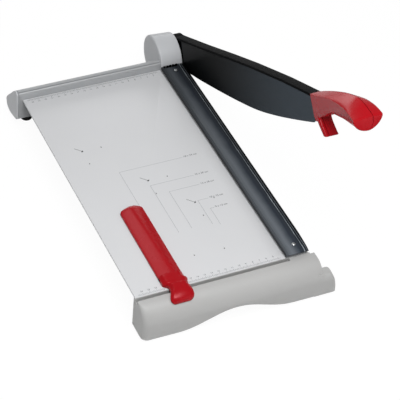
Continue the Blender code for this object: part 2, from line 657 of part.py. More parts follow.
def grip_ring(along, left_out, right_out, left_crease, crown, right_crease, under, soft):
    """One section of the grip: two facets that meet at a crown, over sides that draw in to a soft underside."""
    left, right = -FLARE_LEFT * left_out, ARM_WIDTH + FLARE_RIGHT * right_out
    left_up, right_up = HANDLE_CROWN * left_crease, HANDLE_CROWN * right_crease
    top, low, middle = HANDLE_CROWN * crown, HANDLE_CROWN * under, (left + right) / 2
    ring = []
    for i in range(CURVE_STEPS):
        u = i / CURVE_STEPS
        ring.append((blend(left, SEAM_TOP, u), blend(left_up, top, u**0.8)))
    for i in range(CURVE_STEPS - 1):
        u = 1 - i / (CURVE_STEPS - 1)
        ring.append((blend(right, SEAM_TOP, u), blend(right_up, top, u**0.8)))
    steps = 2 * CURVE_STEPS
    for i in range(steps):
        turn = math.pi * i / steps
        side = math.cos(turn)
        power = soft * (1 + DRAW_IN_SHARE * along) if side > 0 else soft
        reach = abs(side) ** power * (1 if side >= 0 else -1)
        edge = blend(left_up, right_up, (1 + reach) / 2)
        ring.append((middle + (right - left) / 2 * reach, blend(edge, low, math.sin(turn) ** power)))
    lean = max(0.0, 1.0 - along * CURVE_STEPS)
    start = ARM_LENGTH + along * HANDLE_LENGTH
    return [(x, -(start + lean * (joint(t) - ARM_LENGTH)), t) for x, t in ring]


def prong_ring(along, down):
    s = ARM_LENGTH + along * HANDLE_LENGTH
    t = PRONG_DROP * down
    half, thick = PRONG_WIDTH / 2, PRONG_THICKNESS
    middle = half
    round_off = thick / 4
    corners = (
        (-half + round_off, 0), (half - round_off, 0), (half, round_off), (half, thick - round_off),
        (half - round_off, thick), (-half + round_off, thick), (-half, thick - round_off), (-half, round_off),
    )
    return [(middle + x, -(s + y), t) for x, y in corners]


def seam_side(name, arm, side):
    """A block on one side of the curved seam on which the two shells meet."""
    far, shift = HANDLE_LENGTH, side * FIT_GAP / 2
    line = [(SEAM_TOP + shift, far)]
    for across, up in SEAM_SHARES:
        line.append((blend(SEAM_BOTTOM, SEAM_TOP, across) + shift, HANDLE_CROWN * up))
    line += [(SEAM_BOTTOM + shift, -far), (side * far, -far), (side * far, far)]
    return prism_y(name, line, -ARM_LENGTH - 2 * HANDLE_LENGTH, 0, arm)


def build_handle(arm, red, steel):
    """Two moulded shells that meet on a curved seam, with the arm's tang between them."""
    pocket_end = ARM_LENGTH + TANG_LENGTH + 2 * FIT_GAP
    low, high = TANG_HEIGHT / 4 - 2 * FIT_GAP, TANG_HEIGHT * TANG_TIP_SHARE - 2 * FIT_GAP
    pocket = [
        (ARM_LENGTH - CUT_OVERRUN, low), (ARM_LENGTH, low), (pocket_end, high),
        (pocket_end, TANG_HEIGHT * TANG_TOP_SHARE + 2 * FIT_GAP), (ARM_LENGTH - CUT_OVERRUN, SPINE_END - FLANGE_THICKNESS),
    ]
    shells = []
    for name, side in (("handle_left_shell", -1), ("handle_right_shell", 1)):
        shell = loft(name, [grip_ring(*row) for row in smooth_rows(GRIP_SHARES, 2)], arm, red, True)
        join(shell, loft(f"{name}_prong", [prong_ring(*row) for row in smooth_rows(PRONG_SHARES, 2)], arm))
        boolean(shell, seam_side(f"{name}_side", arm, side), "INTERSECT")
        cut(shell, arm_prism(f"{name}_pocket", pocket, WEB_LEFT - FIT_GAP, SEAM_TOP, arm))
        shells.append(shell)
    seat = ARM_WIDTH + FLARE_RIGHT / 8
    floor = seat - SCREW_HEAD_HEIGHT - 2 * FIT_GAP
    tip = BLADE_THICKNESS / 2
    for i, share in enumerate(HANDLE_SCREW_SHARES, 1):
        place = (0, -(ARM_LENGTH + share * HANDLE_LENGTH), TANG_HEIGHT * HANDLE_SCREW_RISE_SHARE)
        hole = ((tip, HANDLE_SCREW_RADIUS + FIT_GAP), (seat, HANDLE_SCREW_RADIUS + FIT_GAP))
        recess = ((floor, HANDLE_SCREW_HEAD + FIT_GAP), (seat + CUT_OVERRUN, HANDLE_SCREW_HEAD + FIT_GAP))
        for piece in (*shells, bpy.data.objects["lever_arm"]):
            cut(piece, turned(f"{piece.name}_bore_{i}", hole, "x", place, arm, None, SCREW_FACETS))
        cut(shells[1], turned(f"handle_recess_{i}", recess, "x", place, arm, None, SCREW_FACETS))
        head = floor + FIT_GAP
        profile = (
            (tip + FIT_GAP, HANDLE_SCREW_RADIUS), (head, HANDLE_SCREW_RADIUS), (head, HANDLE_SCREW_HEAD),
            (head + SCREW_HEAD_HEIGHT / 2, HANDLE_SCREW_HEAD), (head + SCREW_HEAD_HEIGHT, HANDLE_SCREW_HEAD / 2),
        )
        turned(f"handle_screw_{i}", profile, "x", place, arm, steel, SCREW_FACETS)


def build_bed(root, table_metal, steel, black):
    back, notch = TABLE_LENGTH - FIT_GAP, PIVOT_Y - DRUM_RADIUS - FIT_GAP
    outline = (
        (0, 0), (BED_RAIL_RIGHT, 0), (BED_RAIL_RIGHT, notch), (RAIL_RIGHT, notch), (RAIL_RIGHT, back), (0, back),
    )
    plate = loft("table_plate", [[(x, y, z) for x, y in outline] for z in (-TABLE_THICKNESS, 0)], root, table_metal)
    start, end = FRONT_UNDERLAP + FIT_GAP, PIVOT_Y - DRUM_RADIUS - FIT_GAP
    floor = PLATE_UNDER - BED_RAIL_HEIGHT
    wall = BED_RAIL_WALL
    channel = (
        (BED_RAIL_LEFT, PLATE_UNDER), (BED_RAIL_RIGHT, PLATE_UNDER), (BED_RAIL_RIGHT, floor), (BED_RAIL_LEFT, floor),
        (BED_RAIL_LEFT, floor + wall), (BED_RAIL_RIGHT - wall, floor + wall),
        (BED_RAIL_RIGHT - wall, PLATE_UNDER - wall), (BED_RAIL_LEFT, PLATE_UNDER - wall),
    )
    rail = prism_y("bed_rail", channel, start, end, root, black)
    left, right = STRINGER_INSET, STRINGER_INSET + STRINGER_WIDTH
    low, wall = PLATE_UNDER - STRINGER_HEIGHT, STRINGER_WALL
    stringer = (
        (left, PLATE_UNDER), (right, PLATE_UNDER), (right, PLATE_UNDER - wall), (left + wall, PLATE_UNDER - wall),
        (left + wall, low + wall), (right, low + wall), (right, low), (left, low),
    )
    prism_y("left_stringer", stringer, start, TABLE_LENGTH - FIT_GAP, root, black)
    knife_left, knife_right = TABLE_WIDTH - KNIFE_THICKNESS, TABLE_WIDTH
    bevel = KNIFE_THICKNESS / 5
    section = (
        (knife_left, 0), (knife_right, 0), (knife_right, -KNIFE_HEIGHT + bevel),
        (knife_right - bevel, -KNIFE_HEIGHT), (knife_left, -KNIFE_HEIGHT),
    )
    knife = prism_y("bed_knife", section, start, end, root, steel)
    for i in range(KNIFE_SCREWS):
        y = blend(start, end, (i + 0.5) / KNIFE_SCREWS)
        place = (0, y, -KNIFE_HEIGHT * KNIFE_SCREW_DROP_SHARE)
        hole = KNIFE_SCREW_RADIUS + FIT_GAP
        inside = BED_RAIL_RIGHT - BED_RAIL_WALL
        drill = ((inside - CUT_OVERRUN / 2, hole), (TABLE_WIDTH - KNIFE_THICKNESS / 3, hole))
        for name, piece in (("rail_hole", rail), ("knife_hole", knife)):
            cut(piece, turned(f"{name}_{i + 1}", drill, "x", place, root, None, SCREW_FACETS))
        head = inside - FIT_GAP
        profile = (
            (head - SCREW_HEAD_HEIGHT, KNIFE_SCREW_HEAD), (head, KNIFE_SCREW_HEAD), (head, KNIFE_SCREW_RADIUS),
            (TABLE_WIDTH - KNIFE_THICKNESS / 3 - FIT_GAP, KNIFE_SCREW_RADIUS),
        )
        turned(f"bed_knife_screw_{i + 1}", profile, "x", place, root, steel, SCREW_FACETS)
    return plate, rail


def build_clamp(root, plate, rail, smoked, steel):
    """A smoked bar on two sprung posts that slide in the bed rail."""
    front, back = FIT_GAP, PIVOT_Y - DRUM_RADIUS - 2 * FIT_GAP
    width = CLAMP_WIDTH - FIT_GAP
    section = [(CLAMP_LEFT, CLAMP_LIFT), ]
    for along, up in CLAMP_TOP_SHARES:
        section.append((CLAMP_LEFT + along * width, CLAMP_LIFT + up * CLAMP_THICKNESS))
    section.append((CLAMP_LEFT + width, CLAMP_LIFT))
    bar = prism_y("clamp_bar", section, front, back, root, smoked)
    sweep = []
    steps = 2 * CURVE_STEPS
    for i in range(steps + 1):
        share = i / steps
        sweep.append((TABLE_WIDTH - FIT_GAP - CLAMP_END_TUCK * share**2, front + CLAMP_END_ROUND * (1 - share)))
    sweep += [(sweep[-1][0], front - CUT_OVERRUN), (TABLE_WIDTH + CUT_OVERRUN, front - CUT_OVERRUN)]
    sweep.append((TABLE_WIDTH + CUT_OVERRUN, front + CLAMP_END_ROUND))
    rings = [[(x, y, z) for x, y in sweep] for z in (CLAMP_LIFT - CUT_OVERRUN, CLAMP_LIFT + 2 * CUT_OVERRUN)]
    cut(bar, loft("clamp_end_cutter", rings, root))
    rail_floor = PLATE_UNDER - BED_RAIL_HEIGHT
    for name, y in (("front", front + POST_INSET), ("rear", back - POST_INSET)):
        place = (POST_X, y, 0)
        hole = POST_RADIUS + FIT_GAP
        drill = ((rail_floor - CUT_OVERRUN, hole), (CUT_OVERRUN / 5, hole))
        for piece in (plate, rail):
            cut(piece, turned(f"{piece.name}_{name}_hole", drill, "z", place, root, None, ROUND_FACETS))
        tail = rail_floor - POST_TAIL
        top = CLAMP_LIFT - FIT_GAP
        collar = PLATE_UNDER - BED_RAIL_WALL - FIT_GAP
        profile = (
            (tail, POST_RADIUS), (collar - COLLAR_THICKNESS, POST_RADIUS), (collar - COLLAR_THICKNESS, COLLAR_RADIUS),
            (collar, COLLAR_RADIUS), (collar, POST_RADIUS), (top, POST_RADIUS),
        )
        post = turned(f"clamp_post_{name}", profile, "z", place, root, steel)
        seat = CLAMP_LIFT + CLAMP_THICKNESS * CLAMP_SEAT_SHARE
        depth = seat + CLAMP_SCREW_HEIGHT - CLAMP_SCREW_LENGTH
        bore = CLAMP_SCREW_RADIUS + FIT_GAP
        tap = ((depth - FIT_GAP, bore), (seat + CUT_OVERRUN, bore))
        recess = ((seat, CLAMP_SCREW_HEAD + FIT_GAP), (seat + CUT_OVERRUN, CLAMP_SCREW_HEAD + FIT_GAP))
        cut(post, turned(f"post_{name}_tap", tap, "z", place, root, None, SCREW_FACETS))
        cut(bar, turned(f"bar_{name}_tap", tap, "z", place, root, None, SCREW_FACETS))
        cut(bar, turned(f"bar_{name}_seat", recess, "z", place, root, None, SCREW_FACETS))
        head = seat + FIT_GAP
        screw = (
            (depth, CLAMP_SCREW_RADIUS), (head, CLAMP_SCREW_RADIUS), (head, CLAMP_SCREW_HEAD),
            (head + CLAMP_SCREW_HEIGHT / 2, CLAMP_SCREW_HEAD), (head + CLAMP_SCREW_HEIGHT, CLAMP_SCREW_HEAD / 2),
        )
        turned(f"clamp_screw_{name}", screw, "z", place, root, steel, SCREW_FACETS)
        spring_low = rail_floor + BED_RAIL_WALL + FIT_GAP
        spring_high = collar - COLLAR_THICKNESS - FIT_GAP
        inner = POST_RADIUS + FIT_GAP
        sleeve = tube_profile(spring_low, spring_high, inner, inner + SPRING_WALL)
        turned(f"clamp_spring_{name}", sleeve, "z", place, root, steel, ROUND_FACETS, True)


def stop_ring(along, left_in, right_in, edge, crown, top_left, top_right):
    """A section across the side stop: two long facets that meet at a ridge, or a flat block over the foot."""
    y = along * (STOP_LENGTH if along > 0 else STOP_REACH)
    floor = FIT_GAP if along > 0 else front_surface(FRONT_LENGTH, y) + 2 * FIT_GAP
    left, right = STOP_LEFT + left_in * STOP_WIDTH, STOP_LEFT + (1 - right_in) * STOP_WIDTH
    side, top = floor + edge * STOP_CROWN, floor + crown * STOP_CROWN
    first, last = blend(left, right, top_left), blend(left, right, top_right)
    bulge = STOP_BULGE_SHARE * STOP_CROWN
    return [
        (left, y, floor), (left, y, side), ((left + first) / 2, y, (side + top) / 2 + bulge),
        (first, y, top), (last, y, top), ((last + right) / 2, y, (side + top) / 2 + bulge),
        (right, y, side), (right, y, floor),
    ]


def build_stop(root, red, black):
    """The side stop lies along the table, bridges the slot and hooks over the housing."""
    left, right = STOP_LEFT, STOP_LEFT + STOP_WIDTH
    loft("stop_arm", [stop_ring(*row) for row in STOP_SHARES], root, red, True)
    middle = (left + right) / 2
    slot_back = -FIT_GAP - SLOT_LIP - KEY_CLEARANCE
    low = (middle - KEY_LENGTH / 2, slot_back - SLOT_WIDTH + 2 * KEY_CLEARANCE, -SLOT_DEPTH + KEY_CLEARANCE)
    box("stop_key", low, (middle + KEY_LENGTH / 2, slot_back, 0), root, black)


def foot_places():
    rear_y = TABLE_LENGTH + RAIL_DEPTH / 2
    rail_floor, front_floor = -RAIL_DROP, FRONT_FLOOR
    return {
        "front_left": (FOOT_INSET, -FOOT_INSET, front_floor),
        "front_right": (TABLE_WIDTH - FOOT_INSET, -FOOT_INSET, front_floor),
        "rear_left": (FOOT_INSET, rear_y, rail_floor),
        "rear_right": ((RAIL_RIGHT + TABLE_WIDTH) / 2, rear_y, rail_floor),
    }


def build_feet(root, rubber):
    for name, (x, y, seat) in foot_places().items():
        profile = (
            (-TABLE_HEIGHT, FOOT_RADIUS - FOOT_EDGE), (-TABLE_HEIGHT + FOOT_EDGE, FOOT_RADIUS),
            (seat - FIT_GAP, FOOT_RADIUS),
        )
        turned(f"foot_{name}", profile, "z", (x, y, 0), root, rubber)


def main():
    clear_scene()
    grey = make_material("pale_grey_plastic", (0.62, 0.62, 0.62), 0.45, 0.0)
    rail_metal = make_material("rail_aluminium", (0.52, 0.53, 0.54), 0.38, 0.6)
    table_metal = make_material("table_silver", (0.72, 0.73, 0.75), 0.35, 0.2)
    black = make_material("black_paint", (0.012, 0.013, 0.015), 0.35, 0.0)
    blade_steel = make_material("blade_steel", (0.05, 0.06, 0.07), 0.30, 0.8)
    steel = make_material("bright_steel", (0.55, 0.56, 0.57), 0.30, 1.0)
    bronze = make_material("bush_bronze", (0.45, 0.30, 0.15), 0.40, 1.0)
    red = make_material("red_plastic", (0.55, 0.01, 0.02), 0.30, 0.0)
    smoked = make_material("smoked_plastic", (0.06, 0.07, 0.08), 0.20, 0.0)
    rubber = make_material("black_rubber", (0.02, 0.02, 0.02), 0.80, 0.0)

    root = make_empty("cutter", None, (-FOOT_INSET, FOOT_INSET, TABLE_HEIGHT))
    arm = make_empty("arm_pivot", root, (ARM_LEFT, PIVOT_Y, PIVOT_RISE), -REST_ANGLE)
    build_front_housing(root, grey)
    boss_end = build_rear(root, rail_metal, grey)
    build_pivot(root, arm, boss_end, steel, bronze, grey)
    build_arm(arm, black, blade_steel)
    build_handle(arm, red, steel)
    plate, rail = build_bed(root, table_metal, steel, black)
    build_clamp(root, plate, rail, smoked, steel)
    build_stop(root, red, black)
    build_feet(root, rubber)
    bpy.context.view_layer.update()


main()
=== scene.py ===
import math

import bmesh
import bpy
from mathutils import Matrix, Vector


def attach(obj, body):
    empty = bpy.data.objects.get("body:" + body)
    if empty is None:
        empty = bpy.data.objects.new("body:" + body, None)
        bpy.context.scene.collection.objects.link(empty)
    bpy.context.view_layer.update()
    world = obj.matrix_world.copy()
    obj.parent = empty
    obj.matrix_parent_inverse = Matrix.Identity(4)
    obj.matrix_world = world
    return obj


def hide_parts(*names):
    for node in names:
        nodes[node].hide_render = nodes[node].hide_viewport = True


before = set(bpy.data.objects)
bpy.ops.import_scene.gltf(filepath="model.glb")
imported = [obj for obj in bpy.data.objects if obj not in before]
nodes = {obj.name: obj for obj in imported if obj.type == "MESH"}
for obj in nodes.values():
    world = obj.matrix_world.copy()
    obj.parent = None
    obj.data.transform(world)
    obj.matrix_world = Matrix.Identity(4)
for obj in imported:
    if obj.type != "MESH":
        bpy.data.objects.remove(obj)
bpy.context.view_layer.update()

print("cutter: frame loaded,", len(nodes), "nodes")

# Lengths are in metres. Pieces are drawn from the table's front left corner,
# z = 0 on its top face, and moved into place when their mesh is made.
table = {"width": 0.2521, "length": 0.427, "thickness": 0.003, "height": 0.055, "inset": 0.014, "gap": 0.0003}
arm = {
    "x": 0.2524, "y": 0.458, "z": -0.0005, "rise": 26.5, "length": 0.463, "width": 0.016,
    # the last height lifts the centre of the blade's painted reflection fade above the pivot
    "top": 0.031, "fadeRise": 0.06
}


def onTable(point):
    x, y, z = point
    return Vector((x - table["inset"], y + table["inset"], z + table["height"]))


def onArm(point):
    # x across the arm, then along it from the pivot, then up from the pivot line
    across, along, up = point
    turn = math.radians(arm["rise"])
    y = arm["y"] - (along * math.cos(turn) - up * math.sin(turn))
    z = arm["z"] + along * math.sin(turn) + up * math.cos(turn)
    return onTable((arm["x"] + across, y, z))


def mix(low, high, share):
    return low + (high - low) * share


# surface finishes
def newGroup(name, inputs, outputs):
    # a number makes a float input, three numbers a vector and four a colour
    group = bpy.data.node_groups.new(name, "ShaderNodeTree")
    for label, value in inputs.items():
        kind = {1: "Float", 3: "Vector", 4: "Color"}[len(value) if isinstance(value, tuple) else 1]
        socket = group.interface.new_socket(label, in_out="INPUT", socket_type="NodeSocket" + kind)
        socket.default_value = value
    for label in outputs:
        kind = "Color" if label == "Colour" else "Float"
        group.interface.new_socket(label, in_out="OUTPUT", socket_type="NodeSocket" + kind)
    given, result = group.nodes.new("NodeGroupInput"), group.nodes.new("NodeGroupOutput")
    return group, given.outputs, result.inputs, group.links.new


def objectPlace(group):
    return group.nodes.new("ShaderNodeTexCoord").outputs["Object"]


def addNoise(group, place, scale, detail=2.0):
    noise = group.nodes.new("ShaderNodeTexNoise")
    noise.inputs["Scale"].default_value = scale
    noise.inputs["Detail"].default_value = detail
    group.links.new(place, noise.inputs["Vector"])
    return noise


def addMath(tree, operation, first, second=None, clamp=False):
    step = tree.nodes.new("ShaderNodeMath")
    step.operation = operation
    step.use_clamp = clamp
    for socket, value in zip(step.inputs, (first, second)):
        if value is None:
            continue
        if isinstance(value, (int, float)):
            socket.default_value = value
        else:
            tree.links.new(value, socket)
    return step.outputs[0]


def buildMouldGrain():
    # fine pebbled skin of a moulded part, with a slow drift in tone
    inputs = {"Grain Scale": 2500.0, "Drift": 0.03, "Sheen Spread": 0.06}
    group, given, result, join = newGroup("mouldGrain", inputs, ("Height", "Tone", "Roughness Shift"))
    place = objectPlace(group)
    fine = addNoise(group, place, inputs["Grain Scale"])
    slow = addNoise(group, place, 22.0, 4.0)
    join(given["Grain Scale"], fine.inputs["Scale"])
    centred = addMath(group, "SUBTRACT", slow.outputs["Fac"], 0.5)
    drift = addMath(group, "MULTIPLY", centred, given["Drift"])
    join(fine.outputs["Fac"], result["Height"])
    join(addMath(group, "ADD", drift, 1.0), result["Tone"])
    join(addMath(group, "MULTIPLY", centred, given["Sheen Spread"]), result["Roughness Shift"])
    return group


def buildDrawnLines():
    # lines left along a drawn or rolled bar, stretched along one axis by its inputs
    inputs = {"Stretch": (4.0, 900.0, 900.0), "Strength": 0.05}
    group, given, result, join = newGroup("drawnLines", inputs, ("Height", "Tone", "Roughness Shift"))
    place = objectPlace(group)
    spread = group.nodes.new("ShaderNodeVectorMath")
    spread.operation = "MULTIPLY"
    join(place, spread.inputs[0])
    join(given["Stretch"], spread.inputs[1])
    noise = addNoise(group, spread.outputs["Vector"], 1.0, 3.0)
    centred = addMath(group, "SUBTRACT", noise.outputs["Fac"], 0.5)
    change = addMath(group, "MULTIPLY", centred, given["Strength"])
    join(noise.outputs["Fac"], result["Height"])
    join(addMath(group, "ADD", change, 1.0), result["Tone"])
    join(change, result["Roughness Shift"])
    return group


def buildHandling():
    # light dust in hollows of a coarse pattern and a few faint rubbed patches
    inputs = {"Colour": (0.5, 0.5, 0.5, 1.0), "Dust": 0.04, "Rub": 0.05}
    group, given, result, join = newGroup("handling", inputs, ("Colour", "Roughness Shift"))
    place = objectPlace(group)
    patches = addNoise(group, place, 14.0, 6.0)
    specks = addNoise(group, place, 260.0)
    dusty = addMath(group, "SUBTRACT", specks.outputs["Fac"], 0.45)
    dusty = addMath(group, "MULTIPLY", dusty, 2.0, True)
    amount = addMath(group, "MULTIPLY", dusty, given["Dust"])
    blend = group.nodes.new("ShaderNodeMix")
    blend.data_type = "RGBA"
    join(amount, blend.inputs[0])
    join(given["Colour"], blend.inputs[6])
    blend.inputs[7].default_value = (0.62, 0.61, 0.58, 1.0)
    rubbed = addMath(group, "SUBTRACT", patches.outputs["Fac"], 0.5)
    rubbed = addMath(group, "MULTIPLY", rubbed, given["Rub"])
    join(blend.outputs[2], result["Colour"])
    join(rubbed, result["Roughness Shift"])
    return group


def buildArmReflection():
    # painted reflection: the coating darkens from the handle end of the arm towards its hub, a colour fade
    # that stands in for dark surroundings mirrored in the blade's face
    inputs = {"Dark": (0.0015, 0.0018, 0.0020, 1.0), "Pale": (0.5, 0.5, 0.5, 1.0), "Near": 0.13, "Far": 0.42}
    group, given, result, join = newGroup("armFade", inputs, ("Colour",))
    place = objectPlace(group)
    hub = group.nodes.new("ShaderNodeVectorMath")
    hub.operation = "DISTANCE"
    hub.inputs[1].default_value = onTable((arm["x"], arm["y"], arm["z"] + arm["fadeRise"]))
    join(place, hub.inputs[0])
    fade = group.nodes.new("ShaderNodeMapRange")
    fade.interpolation_type = "SMOOTHSTEP"
    join(hub.outputs["Value"], fade.inputs["Value"])
    join(given["Near"], fade.inputs["From Min"])
    join(given["Far"], fade.inputs["From Max"])
    blend = group.nodes.new("ShaderNodeMix")
    blend.data_type = "RGBA"
    join(fade.outputs["Result"], blend.inputs[0])
    join(given["Dark"], blend.inputs[6])
    join(given["Pale"], blend.inputs[7])
    join(blend.outputs[2], result["Colour"])
    return group


mouldGrain = buildMouldGrain()
drawnLines = buildDrawnLines()
handling = buildHandling()


def screenColour(code):
    # a colour written as it looks on screen, turned into the light values that a shader takes
    values = [int(code[i:i + 2], 16) / 255 for i in (0, 2, 4)]
    return [v / 12.92 if v <= 0.04045 else ((v + 0.055) / 1.055) ** 2.4 for v in values]


finishes = {
    # colour on screen, roughness, metallic, grain height or stretch of drawn lines, dust
    "housingPlastic": ("b6b6b5", 0.50, 0.0, 0.00003, 0.03),
    "drumPlastic": ("c3c5c8", 0.42, 0.0, 0.00002, 0.03),
    "railMetal": ("b8babc", 0.45, 0.35, (4.0, 900.0, 900.0), 0.02),
    "tableCoating": ("d6d7d9", 0.42, 0.0, 0.00001, 0.02),
    "blackCoating": ("050607", 0.50, 0.0, 0.00002, 0.001),
    # the blade coating's colour is the pale end of its painted reflection, which fades to black towards the
    # hub
    "bladeCoating": ("3a434b", 0.35, 0.0, (900.0, 6.0, 6.0), 0.002),
    "brightSteel": ("b9bbbd", 0.30, 1.0, (900.0, 900.0, 40.0), 0.01),
    "bushBronze": ("a5824e", 0.42, 1.0, 0.00001, 0.02),
    "redPlastic": ("a50a15", 0.27, 0.0, 0.000008, 0.004),
    "smokedPlastic": ("3f4449", 0.34, 0.0, 0.000006, 0.006),
    "blackPlastic": ("17181a", 0.45, 0.0, 0.00002, 0.02),
    "footRubber": ("0b0b0c", 0.85, 0.0, 0.00005, 0.05),
    "printInk": ("4c4f54", 0.55, 0.0, 0.000002, 0.02),
    "faintInk": ("9c9ea2", 0.55, 0.0, 0.000002, 0.02),
    "markInk": ("17181b", 0.55, 0.0, 0.000002, 0.01),
}
# how strongly a finish mirrors, where it isn't the usual half, and the tint of its highlights
shines = {"blackCoating": 0.02, "bladeCoating": 0.05, "redPlastic": 0.42, "smokedPlastic": 0.12}
tints = {"redPlastic": "ffb4bc"}
lineHeight = 0.00001
bumpStrength = 0.35


def makeFinish(name, colour, rough, metal, skin, dust):
    made = bpy.data.materials.new(name)
    made.use_nodes = True
    tree = made.node_tree
    join = tree.links.new
    shader = tree.nodes["Principled BSDF"]
    shader.inputs["Metallic"].default_value = metal
    shader.inputs["Specular IOR Level"].default_value = shines.get(name, 0.5)
    shader.inputs["Specular Tint"].default_value = (*screenColour(tints.get(name, "ffffff")), 1.0)
    base = tree.nodes.new("ShaderNodeGroup")
    drawn = isinstance(skin, tuple)
    base.node_tree = drawnLines if drawn else mouldGrain
    if drawn:
        base.inputs["Stretch"].default_value = skin
    worn = tree.nodes.new("ShaderNodeGroup")
    worn.node_tree = handling
    worn.inputs["Colour"].default_value = (*screenColour(colour), 1.0)
    worn.inputs["Dust"].default_value = dust
    tone = tree.nodes.new("ShaderNodeVectorMath")
    tone.operation = "SCALE"
    join(worn.outputs["Colour"], tone.inputs[0])
    join(base.outputs["Tone"], tone.inputs["Scale"])
    join(tone.outputs["Vector"], shader.inputs["Base Color"])
    shifts = addMath(tree, "ADD", base.outputs["Roughness Shift"], worn.outputs["Roughness Shift"])
    join(addMath(tree, "ADD", shifts, rough, True), shader.inputs["Roughness"])
    bump = tree.nodes.new("ShaderNodeBump")
    bump.inputs["Strength"].default_value = bumpStrength
    bump.inputs["Distance"].default_value = lineHeight if drawn else skin
    join(base.outputs["Height"], bump.inputs["Height"])
    join(bump.outputs["Normal"], shader.inputs["Normal"])
    return made


def feedColour(name, group):
    # a finish takes its colour from a group; a group that has a Pale input fades to the finish's own colour
    tree = paint[name].node_tree
    source = tree.nodes.new("ShaderNodeGroup")
    source.node_tree = group
    worn = next(n for n in tree.nodes if n.type == "GROUP" and n.node_tree == handling)
    if "Pale" in source.inputs:
        source.inputs["Pale"].default_value = worn.inputs["Colour"].default_value
    tree.links.new(source.outputs["Colour"], worn.inputs["Colour"])


paint = {name: makeFinish(name, *look) for name, look in finishes.items()}
# the blade coating takes a painted reflection that fades from its own colour to black towards the hub
feedColour("bladeCoating", buildArmReflection())
print("cutter:", len(paint), "finishes made")


# making and finishing meshes

# how near points are merged, and how flat a joint between CAD triangles is taken as one face, in degrees
weld = {"drawn": 0.000001, "cad": 0.000005, "flat": 0.5}


def addObject(name, data):
    made = bpy.data.objects.new(name, data)
    bpy.context.scene.collection.objects.link(made)
    return made


def linkPiece(name, mesh, finish, smooth=35.0):
    made = addObject(name, mesh)
    if finish:
        coat(made, finish)
    return smoothAgain(made, smooth) if smooth else made


def coat(piece, finish):
    piece.data.materials.clear()
    piece.data.materials.append(paint[finish])


def smoothAgain(piece, angle=35.0):
    piece.data.shade_smooth()
    piece.data.set_sharp_from_angle(angle=math.radians(angle))
    return piece


def meshOf(name, shape):
    mesh = bpy.data.meshes.new(name)
    shape.to_mesh(mesh)
    shape.free()
    return mesh


def quarter(steps):
    # the angles of a quarter turn, in equal steps
    return [math.pi / 2 * i / steps for i in range(steps + 1)]


def loft(name, rings, finish=None, place=onTable, loop=False, smooth=35.0):
    # rings of equal counts, skinned in order; a loop joins the last ring to the first
    shape = bmesh.new()
    rows = [[shape.verts.new(place(point)) for point in ring] for ring in rings]
    count = len(rows[0])
    pairs = list(zip(rows, rows[1:])) + ([(rows[-1], rows[0])] if loop else [])
    for near, far in pairs:
        for i in range(count):
            j = (i + 1) % count
            shape.faces.new((near[i], near[j], far[j], far[i]))
    if not loop:
        shape.faces.new(rows[0])
        shape.faces.new(list(reversed(rows[-1])))
    bmesh.ops.remove_doubles(shape, verts=shape.verts, dist=weld["drawn"])
    bmesh.ops.recalc_face_normals(shape, faces=shape.faces)
    return linkPiece(name, meshOf(name, shape), finish, smooth)


def lathe(name, profile, axis, centre, finish=None, facets=96, place=onTable, loop=False, smooth=35.0):
    rings = []
    for along, radius in profile:
        ring = []
        for i in range(facets):
            turn = math.tau * (i + 0.5) / facets
            a, b = radius * math.cos(turn), radius * math.sin(turn)
            offset = (along, a, b) if axis == "x" else (a, b, along)
            ring.append([c + o for c, o in zip(centre, offset)])
        rings.append(ring)
    return loft(name, rings, finish, place, loop, smooth)


def boxPiece(name, low, high, finish=None, place=onTable):
    rings = []
    for x in (low[0], high[0]):
        rings.append([(x, low[1], low[2]), (x, high[1], low[2]), (x, high[1], high[2]), (x, low[1], high[2])])
    return loft(name, rings, finish, place, smooth=0)


def bake(piece):
    # the modifiers become part of a plain mesh
    bpy.context.view_layer.update()
    seen = piece.evaluated_get(bpy.context.evaluated_depsgraph_get())
    mesh = bpy.data.meshes.new_from_object(seen)
    old = piece.data
    piece.modifiers.clear()
    piece.data = mesh
    bpy.data.meshes.remove(old)
    return piece


def combine(piece, tools, operation):
    for tool in tools:
        change = piece.modifiers.new(tool.name, "BOOLEAN")
        change.operation = operation
        change.solver = "EXACT"
        change.object = tool
    bake(piece)
    shape = bmesh.new()
    shape.from_mesh(piece.data)
    bmesh.ops.recalc_face_normals(shape, faces=shape.faces)
    if shape.calc_volume(signed=True) < 0:
        bmesh.ops.reverse_faces(shape, faces=shape.faces)
    shape.to_mesh(piece.data)
    shape.free()
    for tool in tools:
        bpy.data.objects.remove(tool, do_unlink=True)
    return piece


def soften(piece, width, segments=2, angle=40.0):
    change = piece.modifiers.new("softEdges", "BEVEL")
    change.width = width
    change.segments = segments
    change.limit_method = "ANGLE"
    change.angle_limit = math.radians(angle)
    change.harden_normals = False
    change.miter_outer = "MITER_ARC"
    bake(piece)
    return smoothAgain(piece)


def copyNode(name, finish, soft=0.0, angle=35.0):
    # a merged copy of a CAD node whose flat faces are whole again, so that its edges can be softened
    source = nodes[name]
    shape = bmesh.new()
    shape.from_mesh(source.data)
    shape.transform(source.matrix_world)
    bmesh.ops.remove_doubles(shape, verts=shape.verts, dist=weld["cad"])
    flat = math.radians(weld["flat"])
    bmesh.ops.dissolve_limit(shape, angle_limit=flat, verts=shape.verts, edges=shape.edges)
    made = linkPiece(name + "Skin", meshOf(name + "Skin", shape), finish, angle)
    return soften(made, soft) if soft else made


def joinPieces(name, pieces, finish):
    shape = bmesh.new()
    for piece in pieces:
        shape.from_mesh(piece.data)
        bpy.data.objects.remove(piece, do_unlink=True)
    return linkPiece(name, meshOf(name, shape), finish, 0)


def settle(piece, body, *replaced):
    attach(piece, body)
    if replaced:
        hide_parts(*replaced)
    return piece


